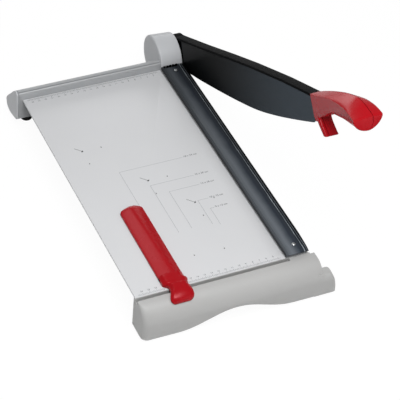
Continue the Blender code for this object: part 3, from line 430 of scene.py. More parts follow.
# front housing: one long moulding with a convex skin
housing = {
    "depthRight": 0.036, "depthLeft": 0.0325, "topFlat": 0.010, "shoulder": 0.027, "tuck": 0.0015,
    "wall": 0.0028, "corner": 0.009, "floor": -0.052, "archStart": 0.052, "archEnd": 0.217,
    "archRise": 0.0195, "underlap": 0.005, "slotLip": 0.0012, "slotWidth": 0.0050, "slotDepth": 0.008,
    "slotEnd": 0.221, "reliefWidth": 0.008, "reliefDepth": 0.0033, "toeReach": 0.022, "toeTaper": 0.0092,
    "toeDrop": 0.0165, "toeDepth": 0.018, "toeCorner": 0.004, "crownDepth": 0.007, "crownRise": 0.012,
    "rib": 0.002, "ribShares": (0.20, 0.40, 0.60, 0.80), "edge": 0.0006, "boss": 0.0085,
}
housingLength = table["width"] + housing["reliefWidth"]


def housingDepth(x):
    return mix(housing["depthLeft"], housing["depthRight"], x / housingLength)


def housingSkin(x, y):
    run = housingDepth(x) - housing["topFlat"]
    reach = min(max((-y - housing["topFlat"]) / run, 0.0), 1.0)
    return -housing["shoulder"] * (1.0 - math.sqrt(1.0 - reach * reach))


def housingArch(x):
    share = (x - housing["archStart"]) / (housing["archEnd"] - housing["archStart"])
    if not 0.0 < share < 1.0:
        return 0.0
    return housing["archRise"] * (1.0 - math.cos(math.tau * share)) / 2


def skinCurve(x, inset, steps):
    run = housingDepth(x) - housing["topFlat"] - inset
    fall = housing["shoulder"] - inset
    skin = []
    for turn in quarter(steps):
        skin.append((-housing["topFlat"] - run * math.sin(turn), -inset - fall * (1 - math.cos(turn))))
    return skin


def housingRing(x, inset=0.0, roof=0.0, low=None, steps=32):
    gap, under = table["gap"], -table["thickness"] - table["gap"]
    edge = housing["edge"]
    back = 0.0
    if not inset and x < housing["corner"]:
        back = housing["corner"] - math.sqrt(max(housing["corner"] ** 2 - (housing["corner"] - x) ** 2, 0.0))
    ring = [(x, housing["underlap"] - inset, min(under - inset, roof))]
    if not inset:
        ring.append((x, -gap, under))
        for turn in quarter(3):
            ring.append((x, -gap - edge * (1 - math.cos(turn)), -edge * (1 - math.sin(turn))))
    for y, z in skinCurve(x, inset, steps):
        ring.append((x, min(y + back, -gap - edge - inset), min(z, roof)))
    floor = low if low is not None else housing["floor"] + housingArch(x)
    front = -housingDepth(x) + housing["tuck"] + inset + back
    if not inset:
        for turn in quarter(3):
            ring.append((x, front + edge * (1 - math.cos(turn)), floor + edge * (1 - math.sin(turn))))
    else:
        ring.append((x, front, floor))
    ring.append((x, housing["underlap"] - inset, floor))
    return ring


def toeRing(z, inset=0.0, drawIn=0.0):
    share = (z - housing["floor"]) / (-housing["toeDrop"] - housing["floor"])
    left = table["width"] - housing["wall"] + inset
    right = housingLength + housing["toeReach"] - housing["toeTaper"] * share ** 2 - inset - drawIn
    rise = min(max((z + housing["toeDrop"]) / housing["crownRise"] + 1, 0.0), 1.0)
    crown = housing["crownDepth"] * (1 - math.sqrt(1 - rise ** 2))
    front = -housing["depthRight"] + housing["tuck"] * (1 - share) + crown + inset + drawIn
    back = -housing["depthRight"] + housing["toeDepth"] - inset - drawIn
    corner = housing["toeCorner"] - inset / 2
    ring = [(left, back, z), (left, front, z)]
    for x, y, start in ((right - corner, front + corner, -math.pi / 2), (right - corner, back - corner, 0.0)):
        for turn in quarter(12):
            ring.append((x + corner * math.cos(start + turn), y + corner * math.sin(start + turn), z))
    return ring


def buildHousing():
    h = housing
    stations = [h["corner"] * (1 - math.cos(turn)) for turn in quarter(14)]
    stations += [mix(h["archStart"] * 0.4, h["archEnd"], i / 60) for i in range(61)]
    stations += [mix(h["archEnd"], housingLength, i / 8) for i in range(1, 9)]
    body = loft("frontHousing", [housingRing(x) for x in stations], "housingPlastic")
    toeTop, round_ = -h["toeDrop"], h["toeCorner"] / 3
    foot, brow = toeTop - h["crownRise"], toeTop - round_
    rings = [toeRing(mix(h["floor"], foot, i / 8)) for i in range(9)]
    rings += [toeRing(mix(foot, brow, math.sin(turn))) for turn in quarter(16)[1:]]
    for turn in quarter(6)[1:]:
        ring = toeRing(brow, 0.0, round_ * (1 - math.cos(turn)))
        rings.append([(x, y, brow + round_ * math.sin(turn)) for x, y, _ in ring])
    combine(body, [loft("toe", rings)], "UNION")
    far = 0.010
    below = h["floor"] - far
    right = housingLength + h["toeReach"]
    curve = [(y, z) for y, z in skinCurve(table["width"], h["reliefDepth"], 48) if z > toeTop]
    run, fall = h["depthRight"] - h["topFlat"] - h["reliefDepth"], h["shoulder"] - h["reliefDepth"]
    share = 1 - (h["toeDrop"] - h["reliefDepth"]) / fall
    curve.append((-h["topFlat"] - run * math.sqrt(1 - share ** 2), toeTop))
    section = [(h["underlap"] + far, far), (h["underlap"] + far, -h["reliefDepth"])] + curve
    section += [(-h["depthRight"] - far, toeTop), (-h["depthRight"] - far, far)]
    relief = [[(x, y, z) for y, z in section] for x in (table["width"], right + far)]
    tools = [loft("bladeRelief", relief)]
    relief = (table["width"], -table["gap"], below), (right, h["underlap"] + far, far)
    tools.append(boxPiece("rearRelief", *relief))
    roof = -h["slotDepth"] - h["wall"]
    walls = [h["wall"]]
    for share in h["ribShares"]:
        walls += [share * table["width"] - h["rib"] / 2, share * table["width"] + h["rib"] / 2]
    walls.append(table["width"] - h["wall"])
    for i in range(0, len(walls), 2):
        spans = [mix(walls[i], walls[i + 1], k / 4) for k in range(5)]
        pocket = [housingRing(x, h["wall"], roof, below, 24) for x in spans]
        tools.append(loft(f"pocket{i}", pocket))
    inner = toeTop - h["wall"]
    lower = [(x, y, below) for x, y, _ in toeRing(h["floor"], h["wall"])]
    tools.append(loft("toePocket", [lower, toeRing(inner, h["wall"])]))
    slotBack = -table["gap"] - h["slotLip"]
    slotFront = slotBack - h["slotWidth"]
    tools.append(boxPiece("slot", (-far, slotFront, -h["slotDepth"]), (h["slotEnd"], slotBack, far)))
    combine(body, tools, "DIFFERENCE")
    bosses = []
    for x in (table["inset"], table["width"] - table["inset"]):
        profile = ((h["floor"], h["boss"]), (roof + h["wall"] / 2, h["boss"]))
        bosses.append(lathe("boss", profile, "z", (x, -table["inset"], 0), facets=48))
    combine(body, bosses, "UNION")
    smoothAgain(body, 30.0)
    coat(body, "housingPlastic")
    return settle(body, "base", "front_housing")


buildHousing()
print("cutter: front housing done")

# rear rail: an extrusion with a lipped groove along its crest
rail = {
    "rise": 0.0110, "crest": 0.0035, "depth": 0.046, "drop": 0.0424, "chin": 0.0084, "wall": 0.0025,
    "overhang": 0.006, "groove": 0.0012, "cap": 0.0027, "plug": 0.006,
    "back": (
        (0.130, 0.982), (0.240, 0.936), (0.380, 0.830), (0.540, 0.690), (0.711, 0.548), (0.850, 0.425),
        (0.945, 0.335), (1.000, 0.250), (0.993, 0.170), (0.963, 0.105), (0.878, 0.037), (0.740, 0.008),
        (0.602, 0.000), (0.300, 0.045), (0.080, 0.090),
    ),
}
drum = {
    "y": 0.458, "z": -0.0005, "radius": 0.035, "length": 0.0348, "taper": 0.002, "wall": 0.003,
    "edge": 0.0025, "shaft": 0.006, "bush": 0.003, "boss": 0.0035, "washer": 0.0022, "centre": 0.004,
    "rim": 0.0005, "rimDrop": 0.0004,
}
railRight = table["width"] - drum["length"] - table["gap"]


def smoothPath(points, between):
    # more points on a smooth curve through the given ones
    path = []
    for k in range(len(points) - 1):
        a, b = points[max(k - 1, 0)], points[k]
        c, d = points[k + 1], points[min(k + 2, len(points) - 1)]
        for i in range(between):
            u = i / between
            step = []
            for p, q, r, s in zip(a, b, c, d):
                step.append(
                    q + u * (r - p) / 2 + u * u * (p - 2.5 * q + 2 * r - s / 2)
                    + u ** 3 * (1.5 * (q - r) + (s - p) / 2)
                )
            path.append(step)
    return path + [list(points[-1])]


def railSection(inset=0.0, groove=True):
    height = rail["rise"] + rail["crest"] + rail["drop"]
    face, top = table["length"] + inset, rail["rise"] - inset
    points = [(face, -rail["drop"] + rail["chin"] + inset), (face, top)]
    if groove and not inset:
        g = rail["groove"]
        edge = table["length"]
        points = [(edge, -rail["drop"] + rail["chin"]), (edge, top - g / 4), (edge + g / 4, top + g / 4)]
        points += [(edge + g, top + g), (edge + g * 1.5, top + g), (edge + g * 1.6, top - g)]
        points += [(edge + g * 2.3, top - g), (edge + g * 2.4, top + g * 1.6)]
    middle = Vector((table["length"] + rail["depth"] / 2, -rail["drop"] / 2))
    for along, up in smoothPath(rail["back"], 6):
        place = Vector((table["length"] + along * rail["depth"], -rail["drop"] + up * height))
        place += (middle - place).normalized() * inset
        points.append((place.x, place.y))
    return points


def alongX(section, x):
    return [(x, y, z) for y, z in section]


def buildRail():
    left = -rail["overhang"]
    outer = railSection()
    inner = railSection(rail["wall"], False)
    body = loft("rearRail", [alongX(outer, left), alongX(outer, railRight)], "railMetal")
    hollow = loft("railHollow", [alongX(inner, left - 0.01), alongX(inner, railRight + 0.01)])
    combine(body, [hollow], "DIFFERENCE")
    smoothAgain(body, 25.0)
    settle(body, "base", "rear_rail")
    edge = left - table["gap"]
    plain = railSection(0.0, False)
    rings = [alongX(plain, edge - rail["cap"]), alongX(plain, edge)]
    cap = loft("railEndCap", rings, "drumPlastic")
    soften(cap, 0.0007, 3, 25.0)
    plug = railSection(rail["wall"] + table["gap"], False)
    peg = loft("plug", [alongX(plug, edge - rail["cap"] / 2), alongX(plug, edge + rail["plug"])])
    combine(cap, [peg], "UNION")
    smoothAgain(cap)
    coat(cap, "drumPlastic")
    settle(cap, "base", "rail_end_cap")


def buildDrum():
    d = drum
    left, right = railRight + table["gap"], table["width"] - table["gap"]
    centre = (0, d["y"], d["z"])
    profile = [(left, d["centre"])]
    for turn in quarter(8):
        fall = d["edge"] * (1 - math.sin(turn))
        profile.append((left + d["edge"] * (1 - math.cos(turn)), d["radius"] - fall))
    narrow = d["radius"] - d["taper"]
    profile += [(right - d["rim"], narrow), (right, narrow - d["rimDrop"])]
    body = lathe("pivotHousing", profile, "x", centre, "drumPlastic", 160)
    base = loft("pivotBase", [alongX(railSection(0.0, False), x) for x in (left, right)])
    combine(body, [base], "UNION")
    boss = d["shaft"] + d["bush"] + d["boss"] + 2 * table["gap"]
    outer = d["radius"] - d["taper"] - d["wall"]
    inside, outside = left + d["wall"], right + 0.01
    hollow = ((inside, boss), (inside, outer), (outside, outer), (outside, boss))
    well = lathe("drumWell", hollow, "x", centre, loop=True)
    facingStart = table["width"] - d["washer"] - table["gap"]
    facingRadius = boss + d["wall"] / 2
    facing = lathe("bossFacing", ((facingStart, facingRadius), (outside, facingRadius)), "x", centre)
    bore = d["shaft"] + d["bush"] + 2 * table["gap"]
    hole = lathe("bossBore", ((inside, bore), (outside, bore)), "x", centre)
    combine(body, [well, facing, hole], "DIFFERENCE")
    smoothAgain(body, 30.0)
    coat(body, "drumPlastic")
    settle(body, "base", "pivot_housing")


buildRail()
buildDrum()
print("cutter: rail and pivot housing done")

# side stop: a long two-faceted bar with a flat block and a foot over the housing
stop = {
    "left": 0.0405, "width": 0.0335, "length": 0.1600, "crown": 0.0082, "reach": 0.0248, "bulge": 0.05,
    "corner": 0.0007,
    "sections": (
        (1.000, 0.360, 0.240, 0.22, 0.42, 0.36, 0.62), (0.994, 0.230, 0.110, 0.28, 0.62, 0.38, 0.60),
        (0.978, 0.110, 0.036, 0.34, 0.84, 0.42, 0.58), (0.959, 0.024, 0.006, 0.38, 0.96, 0.44, 0.56),
        (0.934, 0.000, 0.000, 0.40, 1.00, 0.46, 0.54), (0.152, 0.000, 0.000, 0.40, 1.00, 0.60, 0.66),
        (0.125, 0.000, 0.012, 0.58, 1.03, 0.20, 0.84), (0.078, 0.000, 0.012, 0.60, 1.03, 0.18, 0.84),
        (0.062, 0.000, -0.045, 0.60, 1.03, 0.18, 0.84), (0.042, 0.006, -0.062, 0.60, 1.03, 0.18, 0.84),
        (0.026, 0.060, -0.040, 0.60, 1.03, 0.20, 0.84), (0.010, 0.160, -0.006, 0.60, 1.03, 0.20, 0.84),
        (-0.040, 0.182, 0.020, 0.60, 1.02, 0.20, 0.82), (-0.242, 0.176, 0.000, 0.60, 0.98, 0.20, 0.82),
        (-0.444, 0.127, -0.024, 0.56, 0.90, 0.18, 0.84), (-0.685, 0.048, -0.030, 0.48, 0.80, 0.16, 0.86),
        (-0.847, 0.039, 0.000, 0.42, 0.74, 0.16, 0.86), (-0.968, 0.106, 0.106, 0.36, 0.62, 0.18, 0.84),
        (-1.000, 0.197, 0.197, 0.30, 0.50, 0.22, 0.80),
    ),
}


def stopRing(along, leftIn, rightIn, edge, crown, topLeft, topRight):
    y = along * (stop["length"] if along > 0 else stop["reach"])
    floor = table["gap"] if along > 0 else housingSkin(housingLength, y) + 2 * table["gap"]
    left, right = stop["left"] + leftIn * stop["width"], stop["left"] + (1 - rightIn) * stop["width"]
    side, top = floor + edge * stop["crown"], floor + crown * stop["crown"]
    first, last = mix(left, right, topLeft), mix(left, right, topRight)
    bulge = stop["bulge"] * stop["crown"]
    corner = stop["corner"]
    ring = [(left, y, floor), (left, y, side - corner)]
    ring += [(left + corner * 0.3, y, side - corner * 0.3), (left + corner, y, side + corner * 0.1)]
    for i in range(1, 6):
        share = i / 6
        lift = bulge * 4 * share * (1 - share)
        ring.append((mix(left + corner, first, share), y, mix(side, top, share) + lift))
    ring += [(first, y, top), ((first + last) / 2, y, top + 0.0001), (last, y, top)]
    for i in range(1, 6):
        share = i / 6
        lift = bulge * 4 * share * (1 - share)
        ring.append((mix(last, right - corner, share), y, mix(top, side, share) + lift))
    ring += [(right - corner, y, side + corner * 0.1), (right - corner * 0.3, y, side - corner * 0.3)]
    ring += [(right, y, side - corner), (right, y, floor)]
    return ring


def stopRows():
    # the bar's long run stays straight; the ends and the foot are rounded through more sections
    rows = stop["sections"]
    first = smoothPath(rows[:5], 6)
    block = smoothPath([rows[4], rows[5], rows[6], rows[7]], 4)[4:]
    foot = smoothPath(rows[7:], 5)
    return first[:-1] + [list(rows[4])] + block[:-1] + foot


def buildStop():
    piece = loft("stopArm", [stopRing(*row) for row in stopRows()], "redPlastic", smooth=28.0)
    settle(piece, "stop", "stop_arm")
    settle(copyNode("stop_key", "blackPlastic", 0.0003), "stop", "stop_key")


buildStop()
print("cutter: side stop done")

# clamp bar: a smoked strip with a raised ridge near the blade; its black edges, partly painted shade, and its
# painted reflections are in its colour bands
clamp = {
    "width": 0.0361, "lift": 0.0046, "thickness": 0.0046, "round": 0.045, "tuck": 0.0020,
    "postInset": 0.013, "postX": 0.2348, "seat": 0.62, "head": 0.0030, "rings": 96, "lip": 0.0026,
    "lipDrop": 0.45,
    "top": (
        (0.000, 0.45), (0.012, 0.76), (0.030, 0.82), (0.060, 0.82), (0.072, 0.70), (0.100, 0.70),
        (0.112, 0.80), (0.125, 0.80), (0.160, 0.68), (0.300, 0.60), (0.430, 0.58), (0.600, 0.62),
        (0.740, 0.72), (0.768, 0.98), (0.778, 1.00), (0.790, 0.98), (0.800, 0.74), (0.860, 0.74),
        (0.870, 0.86), (0.882, 0.86), (0.892, 0.78), (0.965, 0.78), (0.990, 0.66), (1.000, 0.50),
    ),
    # painted reflections and highlights across the bar, over its smoked tone and partly shaded black edges:
    # share of its width, colour
    "bands": (
        (0.000, "26282b"), (0.020, "3a3d41"), (0.050, "484c50"), (0.066, "4a4e52"), (0.090, "4a4e53"),
        (0.120, "51565b"), (0.300, "5f646a"), (0.400, "565b61"), (0.480, "484d53"), (0.560, "3a4047"),
        (0.620, "2b3038"), (0.740, "2b3036"), (0.762, "3a3f45"), (0.772, "8a9096"), (0.790, "8a9096"),
        (0.798, "1c2023"), (0.862, "22262a"), (0.870, "5a5f65"), (0.884, "5a5f65"), (0.892, "060708"),
        (1.000, "030304"),
    ),
    # the bar's colour is scaled from painted shade at its rear end to a painted sheen at its front
    "backTone": 0.50, "frontTone": 1.30, "straightEdge": 2.4, "wander": 0.20, "driftScale": 30.0,
    "combTeeth": 5, "toothWidth": 0.0036, "toothStep": 0.0046, "toothDepth": 0.0024,
    "toothHeight": 0.0012, "toothInset": 0.0030, "toothGap": 0.001, "toothFoot": 0.6,
}
clampBack = drum["y"] - drum["radius"] - 2 * table["gap"]


def buildBarReflections():
    # painted reflections and highlights that run along the clamp bar over its smoked tone, with painted shade
    # darker towards its rear end and a painted sheen lifting its front
    c = clamp
    inputs = {
        "Left": table["width"] - c["width"] - table["inset"], "Width": c["width"],
        "Back Tone": c["backTone"], "Front Tone": c["frontTone"],
    }
    group, given, result, join = newGroup("barBands", inputs, ("Colour",))
    place = objectPlace(group)
    apart = group.nodes.new("ShaderNodeSeparateXYZ")
    join(place, apart.inputs[0])
    across = addMath(group, "SUBTRACT", apart.outputs["X"], given["Left"])
    share = addMath(group, "DIVIDE", across, given["Width"])
    drift = addNoise(group, place, c["driftScale"])
    # the painted reflections wander in the middle of the bar and keep straight along its edges
    aside = addMath(group, "MULTIPLY", addMath(group, "SUBTRACT", share, 0.5), c["straightEdge"])
    middle = addMath(group, "SUBTRACT", 1.0, addMath(group, "ABSOLUTE", aside), True)
    wander = addMath(group, "SUBTRACT", drift.outputs["Fac"], 0.5)
    wander = addMath(group, "MULTIPLY", addMath(group, "MULTIPLY", wander, c["wander"]), middle)
    ramp = group.nodes.new("ShaderNodeValToRGB")
    tones = ramp.color_ramp
    stops = list(tones.elements)
    for end, (position, code) in zip(stops, (c["bands"][0], c["bands"][-1])):
        end.position = position
        end.color = (*screenColour(code), 1.0)
    for position, code in c["bands"][1:-1]:
        tones.elements.new(position).color = (*screenColour(code), 1.0)
    join(addMath(group, "ADD", share, wander), ramp.inputs[0])
    along = addMath(group, "SUBTRACT", apart.outputs["Y"], table["inset"])
    along = addMath(group, "DIVIDE", along, table["length"], True)
    span = addMath(group, "SUBTRACT", given["Back Tone"], given["Front Tone"])
    tone = addMath(group, "ADD", given["Front Tone"], addMath(group, "MULTIPLY", along, span))
    scaled = group.nodes.new("ShaderNodeVectorMath")
    scaled.operation = "SCALE"
    join(ramp.outputs["Color"], scaled.inputs[0])
    join(tone, scaled.inputs["Scale"])
    join(scaled.outputs["Vector"], result["Colour"])
    return group


def buildClamp():
    c = clamp
    left = table["width"] - c["width"]
    front, width = table["gap"], c["width"] - table["gap"]
    section = [(left, c["lift"])]
    section += [(left + a * width, c["lift"] + u * c["thickness"]) for a, u in c["top"]]
    section.append((left + width, c["lift"]))
    rings = []
    for k in range(c["rings"] + 1):
        y = mix(front - c["lip"], clampBack, k / c["rings"])
        ahead = max(0.0, 1 - (y - front) / c["round"])
        pull = c["tuck"] * min(ahead, 1.0) ** 2
        ring = []
        for x, z in section:
            part = max(0.0, (x - left) / width)
            drop = min(1.0, max(0.0, (front + c["lip"] - y) / (2 * c["lip"]))) ** 2
            ring.append((x - pull * part, y, z - (z - c["lift"]) * c["lipDrop"] * drop))
        rings.append(ring)
    bar = loft("clampBar", rings, "smokedPlastic", smooth=30.0)
    seat = c["head"] + table["gap"]
    seatProfile = ((c["lift"] + c["thickness"] * c["seat"], seat), (0.02, seat))
    tools = []
    for y in (front + c["postInset"], clampBack - c["postInset"]):
        tools.append(lathe("screwSeat", seatProfile, "z", (c["postX"], y, 0), facets=40))
    combine(bar, tools, "DIFFERENCE")
    coat(bar, "smokedPlastic")
    smoothAgain(bar, 30.0)
    settle(bar, "clamp", "clamp_bar")
    teeth = []
    toothBack = clampBack - c["toothGap"]
    for i in range(c["combTeeth"]):
        x = left + c["toothInset"] + i * c["toothStep"]
        low = (x, clampBack - c["toothDepth"] - c["toothGap"], c["lift"] + c["thickness"] * c["toothFoot"])
        high = (x + c["toothWidth"], toothBack, c["lift"] + c["thickness"] + c["toothHeight"])
        teeth.append(boxPiece("tooth", low, high))
    comb = joinPieces("rearComb", teeth, "blackCoating")
    soften(comb, 0.0002)
    settle(comb, "clamp")


# the smoked bar takes painted reflections, highlights and shade as its colour
feedColour("smokedPlastic", buildBarReflections())
buildClamp()
print("cutter: clamp bar done")

# arm: a hooked steel lever over the blade
spineShares = ((0.00, 0.870), (0.23, 0.905), (0.43, 0.970), (0.60, 1.000), (0.82, 0.970), (1.00, 0.865))
bellyShares = (
    (0.000, 0.640), (0.130, 0.710), (0.201, 0.787), (0.350, 0.897), (0.492, 0.965),
    (0.629, 0.968), (0.760, 0.823), (0.890, 0.594), (0.996, 0.371), (1.015, 0.306),
)
lever = {
    "hub": 0.0285, "flange": 0.003, "lip": 0.013, "lipWall": 0.0025, "web": 0.0035, "setback": 0.011,
    "belly": 0.031, "blade": 0.003, "bevel": 0.005, "bladeStart": 0.037, "slant": 0.007,
    "flangeRound": 0.0011, "hubEdge": 0.0008,
}
spineEnd = arm["top"] * spineShares[-1][1]
bladeEnd = lever["belly"] * bellyShares[-1][1]


def onCurve(shares, share):
    share = min(max(share, shares[0][0]), shares[-1][0])
    path = smoothPath(shares, 12)
    for (a, first), (b, second) in zip(path, path[1:]):
        if share <= b:
            return mix(first, second, (share - a) / max(b - a, 1e-9))
    return path[-1][1]


def spine(along):
    share = min(max(along / arm["length"], 0.0), 1.0)
    for (a, first), (b, second) in zip(spineShares, spineShares[1:]):
        if share <= b:
            return arm["top"] * mix(first, second, (share - a) / (b - a))
    return spineEnd


def belly(along):
    return -lever["belly"] * onCurve(bellyShares, along / arm["length"])


def jointAt(up):
    return arm["length"] + lever["slant"] * (spineEnd - up) / (spineEnd + bladeEnd)


def armPrism(name, outline, low, high, finish=None):
    return loft(name, [[(x, s, t) for s, t in outline] for x in (low, high)], finish, onArm)


def buildLever():
    gap, v = table["gap"], lever
    end = arm["length"] - gap
    rings = []
    for k in range(61):
        along = end * k / 60
        top = spine(along)
        under, r = top - v["flange"], v["flangeRound"]
        ring = [(0, along, under), (arm["width"] - v["lipWall"], along, under)]
        lipEnd = under - v["lip"]
        ring += [(arm["width"] - v["lipWall"], along, lipEnd), (arm["width"], along, lipEnd)]
        for turn in quarter(4):
            ring.append((arm["width"] - r + r * math.cos(turn), along, top - r + r * math.sin(turn)))
        for turn in quarter(4):
            ring.append((r - r * math.sin(turn), along, top - r + r * math.cos(turn)))
        rings.append(ring)
    body = loft("leverArm", rings, "blackCoating", onArm)
    lowEnd = jointAt(-bladeEnd) - gap
    webLeft = v["blade"] + gap
    spots = [end * k / 60 for k in range(61)]
    lower = [mix(v["hub"] / 2, lowEnd - v["setback"], k / 60) for k in range(61)]
    web = [(s, spine(s) - v["flange"] / 2) for s in spots]
    web += [(s, belly(s) + v["setback"]) for s in reversed(lower)]
    edge = v["hubEdge"]
    narrow, wide = v["hub"] - edge, arm["width"]
    profile = ((0, narrow), (edge, v["hub"]), (wide - edge, v["hub"]), (wide, narrow))
    hub = lathe("hub", profile, "x", (0, 0, 0), facets=128, place=onArm)
    combine(body, [armPrism("web", web, webLeft, webLeft + v["web"]), hub], "UNION")
    bore = drum["shaft"] + gap
    profile = ((-0.01, bore), (arm["width"] + 0.01, bore))
    combine(body, [lathe("bore", profile, "x", (0, 0, 0), facets=48, place=onArm)], "DIFFERENCE")
    coat(body, "blackCoating")
    smoothAgain(body, 30.0)
    settle(body, "arm", "lever_arm")
    edge = [mix(v["bladeStart"], lowEnd, k / 90) for k in range(91)]
    under = v["flange"] + gap
    tops = [v["bladeStart"]] + [s for s in spots if s > v["bladeStart"]][:-1]
    top = [(s, spine(s) - under) for s in tops] + [(jointAt(spineEnd - under) - gap, spineEnd - under)]
    left = [(s, belly(s)) for s in edge] + list(reversed(top))
    raised = [(s, belly(s) + v["bevel"]) for s in edge[:-1]]
    raised.append((jointAt(v["bevel"] - bladeEnd) - gap, v["bevel"] - bladeEnd))
    right = raised + list(reversed(top))
    layers = ((0, left), (gap, left), (v["blade"], right))
    blade = loft("bladePlate", [[(x, s, t) for s, t in face] for x, face in layers], "bladeCoating", onArm)
    settle(blade, "arm", "blade")


buildLever()
print("cutter: lever and blade done")

# handle: two red shells that meet on a curved seam
grip = {
    "length": 0.144, "crown": 0.0415, "flareLeft": 0.0151, "flareRight": 0.0101, "seamTop": 0.0123,
    "seamBottom": 0.0055, "prongDrop": 0.0240, "prongWidth": 0.0192, "prongThick": 0.0085,
    "seamGap": 0.0007, "tipRound": 0.0012, "drawIn": 0.40,
    "seam": ((1.00, 0.52), (0.90, 0.40), (0.55, 0.28), (0.15, 0.19), (0.00, 0.08)),
    "prong": ((0.055, 0.25), (0.066, 0.00), (0.086, -0.33), (0.128, -0.67), (0.176, -1.00)),
    "sections": (
        (0.000, 0.00, 0.00, 0.640, 0.655, 0.640, -0.229, 0.22),
        (0.120, 0.03, 0.05, 0.660, 0.752, 0.720, -0.060, 0.25),
        (0.240, 0.07, 0.12, 0.715, 0.836, 0.770, 0.075, 0.30),
        (0.310, 0.11, 0.20, 0.745, 0.876, 0.808, 0.190, 0.38),
        (0.410, 0.16, 0.30, 0.770, 0.928, 0.850, 0.262, 0.46),
        (0.535, 0.26, 0.45, 0.766, 0.980, 0.875, 0.252, 0.58),
        (0.640, 0.36, 0.60, 0.747, 0.998, 0.880, 0.234, 0.68),
        (0.750, 0.51, 0.75, 0.713, 0.990, 0.872, 0.188, 0.78),
        (0.840, 0.66, 0.87, 0.675, 0.905, 0.810, 0.168, 0.85),
        (0.917, 0.81, 0.95, 0.627, 0.770, 0.720, 0.165, 0.90),
        (1.000, 0.98, 1.00, 0.566, 0.593, 0.583, 0.180, 0.92),
    ),
}


def gripRing(along, leftOut, rightOut, leftCrease, crown, rightCrease, under, soft, shrink=0.0, push=0.0):
    g = grip
    left, right = -g["flareLeft"] * leftOut + shrink, arm["width"] + g["flareRight"] * rightOut - shrink
    leftUp, rightUp = g["crown"] * leftCrease - shrink, g["crown"] * rightCrease - shrink
    top, low, middle = g["crown"] * crown - shrink, g["crown"] * under + shrink, (left + right) / 2
    ring = []
    steps = 20
    for i in range(steps):
        u = i / steps
        ring.append((mix(left, g["seamTop"], u), mix(leftUp, top, u ** 0.8)))
    for i in range(steps - 1):
        u = 1 - i / (steps - 1)
        ring.append((mix(right, g["seamTop"], u), mix(rightUp, top, u ** 0.8)))
    steps = 48
    for i in range(steps):
        turn = math.pi * i / steps
        side = math.cos(turn)
        power = soft * (1 + g["drawIn"] * along) if side > 0 else soft
        reach = abs(side) ** power * (1 if side >= 0 else -1)
        edge = mix(leftUp, rightUp, (1 + reach) / 2)
        ring.append((middle + (right - left) / 2 * reach, mix(edge, low, math.sin(turn) ** power)))
    lean = max(0.0, 1.0 - along * 6)
    start = arm["length"] + along * g["length"] - push
    return [(x, start + lean * (jointAt(t) - arm["length"]), t) for x, t in ring]


def prongRing(along, down):
    g = grip
    s = arm["length"] + along * g["length"]
    t = g["prongDrop"] * down
    half, thick, r = g["prongWidth"] / 2, g["prongThick"], g["prongThick"] / 3
    ring = []
    right, left, quarterTurn = half - r, r - half, math.pi / 2
    corners = ((right, r, -quarterTurn), (right, thick - r, 0.0))
    corners += ((left, thick - r, quarterTurn), (left, r, math.pi))
    for x, y, start in corners:
        for turn in quarter(5):
            ring.append((half + x + r * math.cos(start + turn), s + y + r * math.sin(start + turn), t))
    return ring


def seamBlock(name, side):
    g = grip
    far, shift = g["length"], side * g["seamGap"] / 2
    line = [(g["seamTop"] + shift, far)]
    for across, up in smoothPath(g["seam"], 6):
        line.append((mix(g["seamBottom"], g["seamTop"], min(across, 1.0)) + shift, g["crown"] * up))
    line += [(g["seamBottom"] + shift, -far), (side * far, -far), (side * far, far)]
    rings = [[(x, s, t) for x, t in line] for s in (arm["length"] - 0.05, arm["length"] + 2 * g["length"])]
    return loft(name, rings, place=onArm)


def buildGrip():
    rows = smoothPath(grip["sections"], 8)
    r = grip["tipRound"]
    for name, side, node in (("gripLeft", -1, "handle_left_shell"), ("gripRight", 1, "handle_right_shell")):
        rings = [gripRing(*row) for row in rows if row[0] < 1 - 1.2 * r / grip["length"]]
        for turn in quarter(6):
            rings.append(gripRing(*rows[-1], shrink=r * (1 - math.cos(turn)), push=r * (1 - math.sin(turn))))
        shell = loft(name, rings, "redPlastic", onArm)
        prongRows = smoothPath(grip["prong"], 6)
        combine(shell, [loft(name + "Prong", [prongRing(*row) for row in prongRows], place=onArm)], "UNION")
        combine(shell, [seamBlock(name + "Side", side)], "INTERSECT")
        coat(shell, "redPlastic")
        smoothAgain(shell, 24.0)
        settle(shell, "arm", node)


buildGrip()
print("cutter: handle done")


# pieces that keep their CAD form with softened edges
plainPieces = (
    # body, finish, width of the softened edge, nodes
    ("base", "tableCoating", 0.0004, ("table_plate",)),
    ("base", "blackCoating", 0.0004, ("bed_rail", "left_stringer")),
    ("base", "brightSteel", 0.0002, ("bed_knife",)),
    ("base", "footRubber", 0.0004,
     ("foot_front_left", "foot_front_right", "foot_rear_left", "foot_rear_right")),
    ("base", "bushBronze", 0.0002, ("pivot_bush_left", "pivot_bush_right")),
    ("base", "brightSteel", 0.0002, ("friction_washer",)),
    ("arm", "brightSteel", 0.0003, ("pivot_shaft",)),
)
for body, finish, soft, names in plainPieces:
    for name in names:
        settle(copyNode(name, finish, soft), body, name)

# what stays as the CAD drew it takes the finish of the same name, bright_steel as brightSteel
for node in nodes.values():
    for index, place in enumerate(node.material_slots):
        label = place.material.name.split(".")[0] if place.material else ""
        first, *more = label.split("_")
        finish = first + "".join(word.capitalize() for word in more)
        if finish in paint:
            node.data.materials[index] = paint[finish]
print("cutter: plain pieces done")


# printed rules, format outlines and marks on the table
rule = {
    "step": 0.001, "width": 0.00022, "short": 0.0022, "middle": 0.0032, "long": 0.0046, "depth": 0.00004,
    "ends": (0.0062, 0.2102), "rearY": 0.4246, "frontY": 0.0016, "numberSize": 0.0036, "rearGap": 0.0026,
    "frontGap": 0.0022,
}
# heights above the table of the underside and top of printed bars, and of text with its half thickness
ink = {"low": 0.00001, "high": 0.00005, "text": 0.00003, "half": 0.00002}


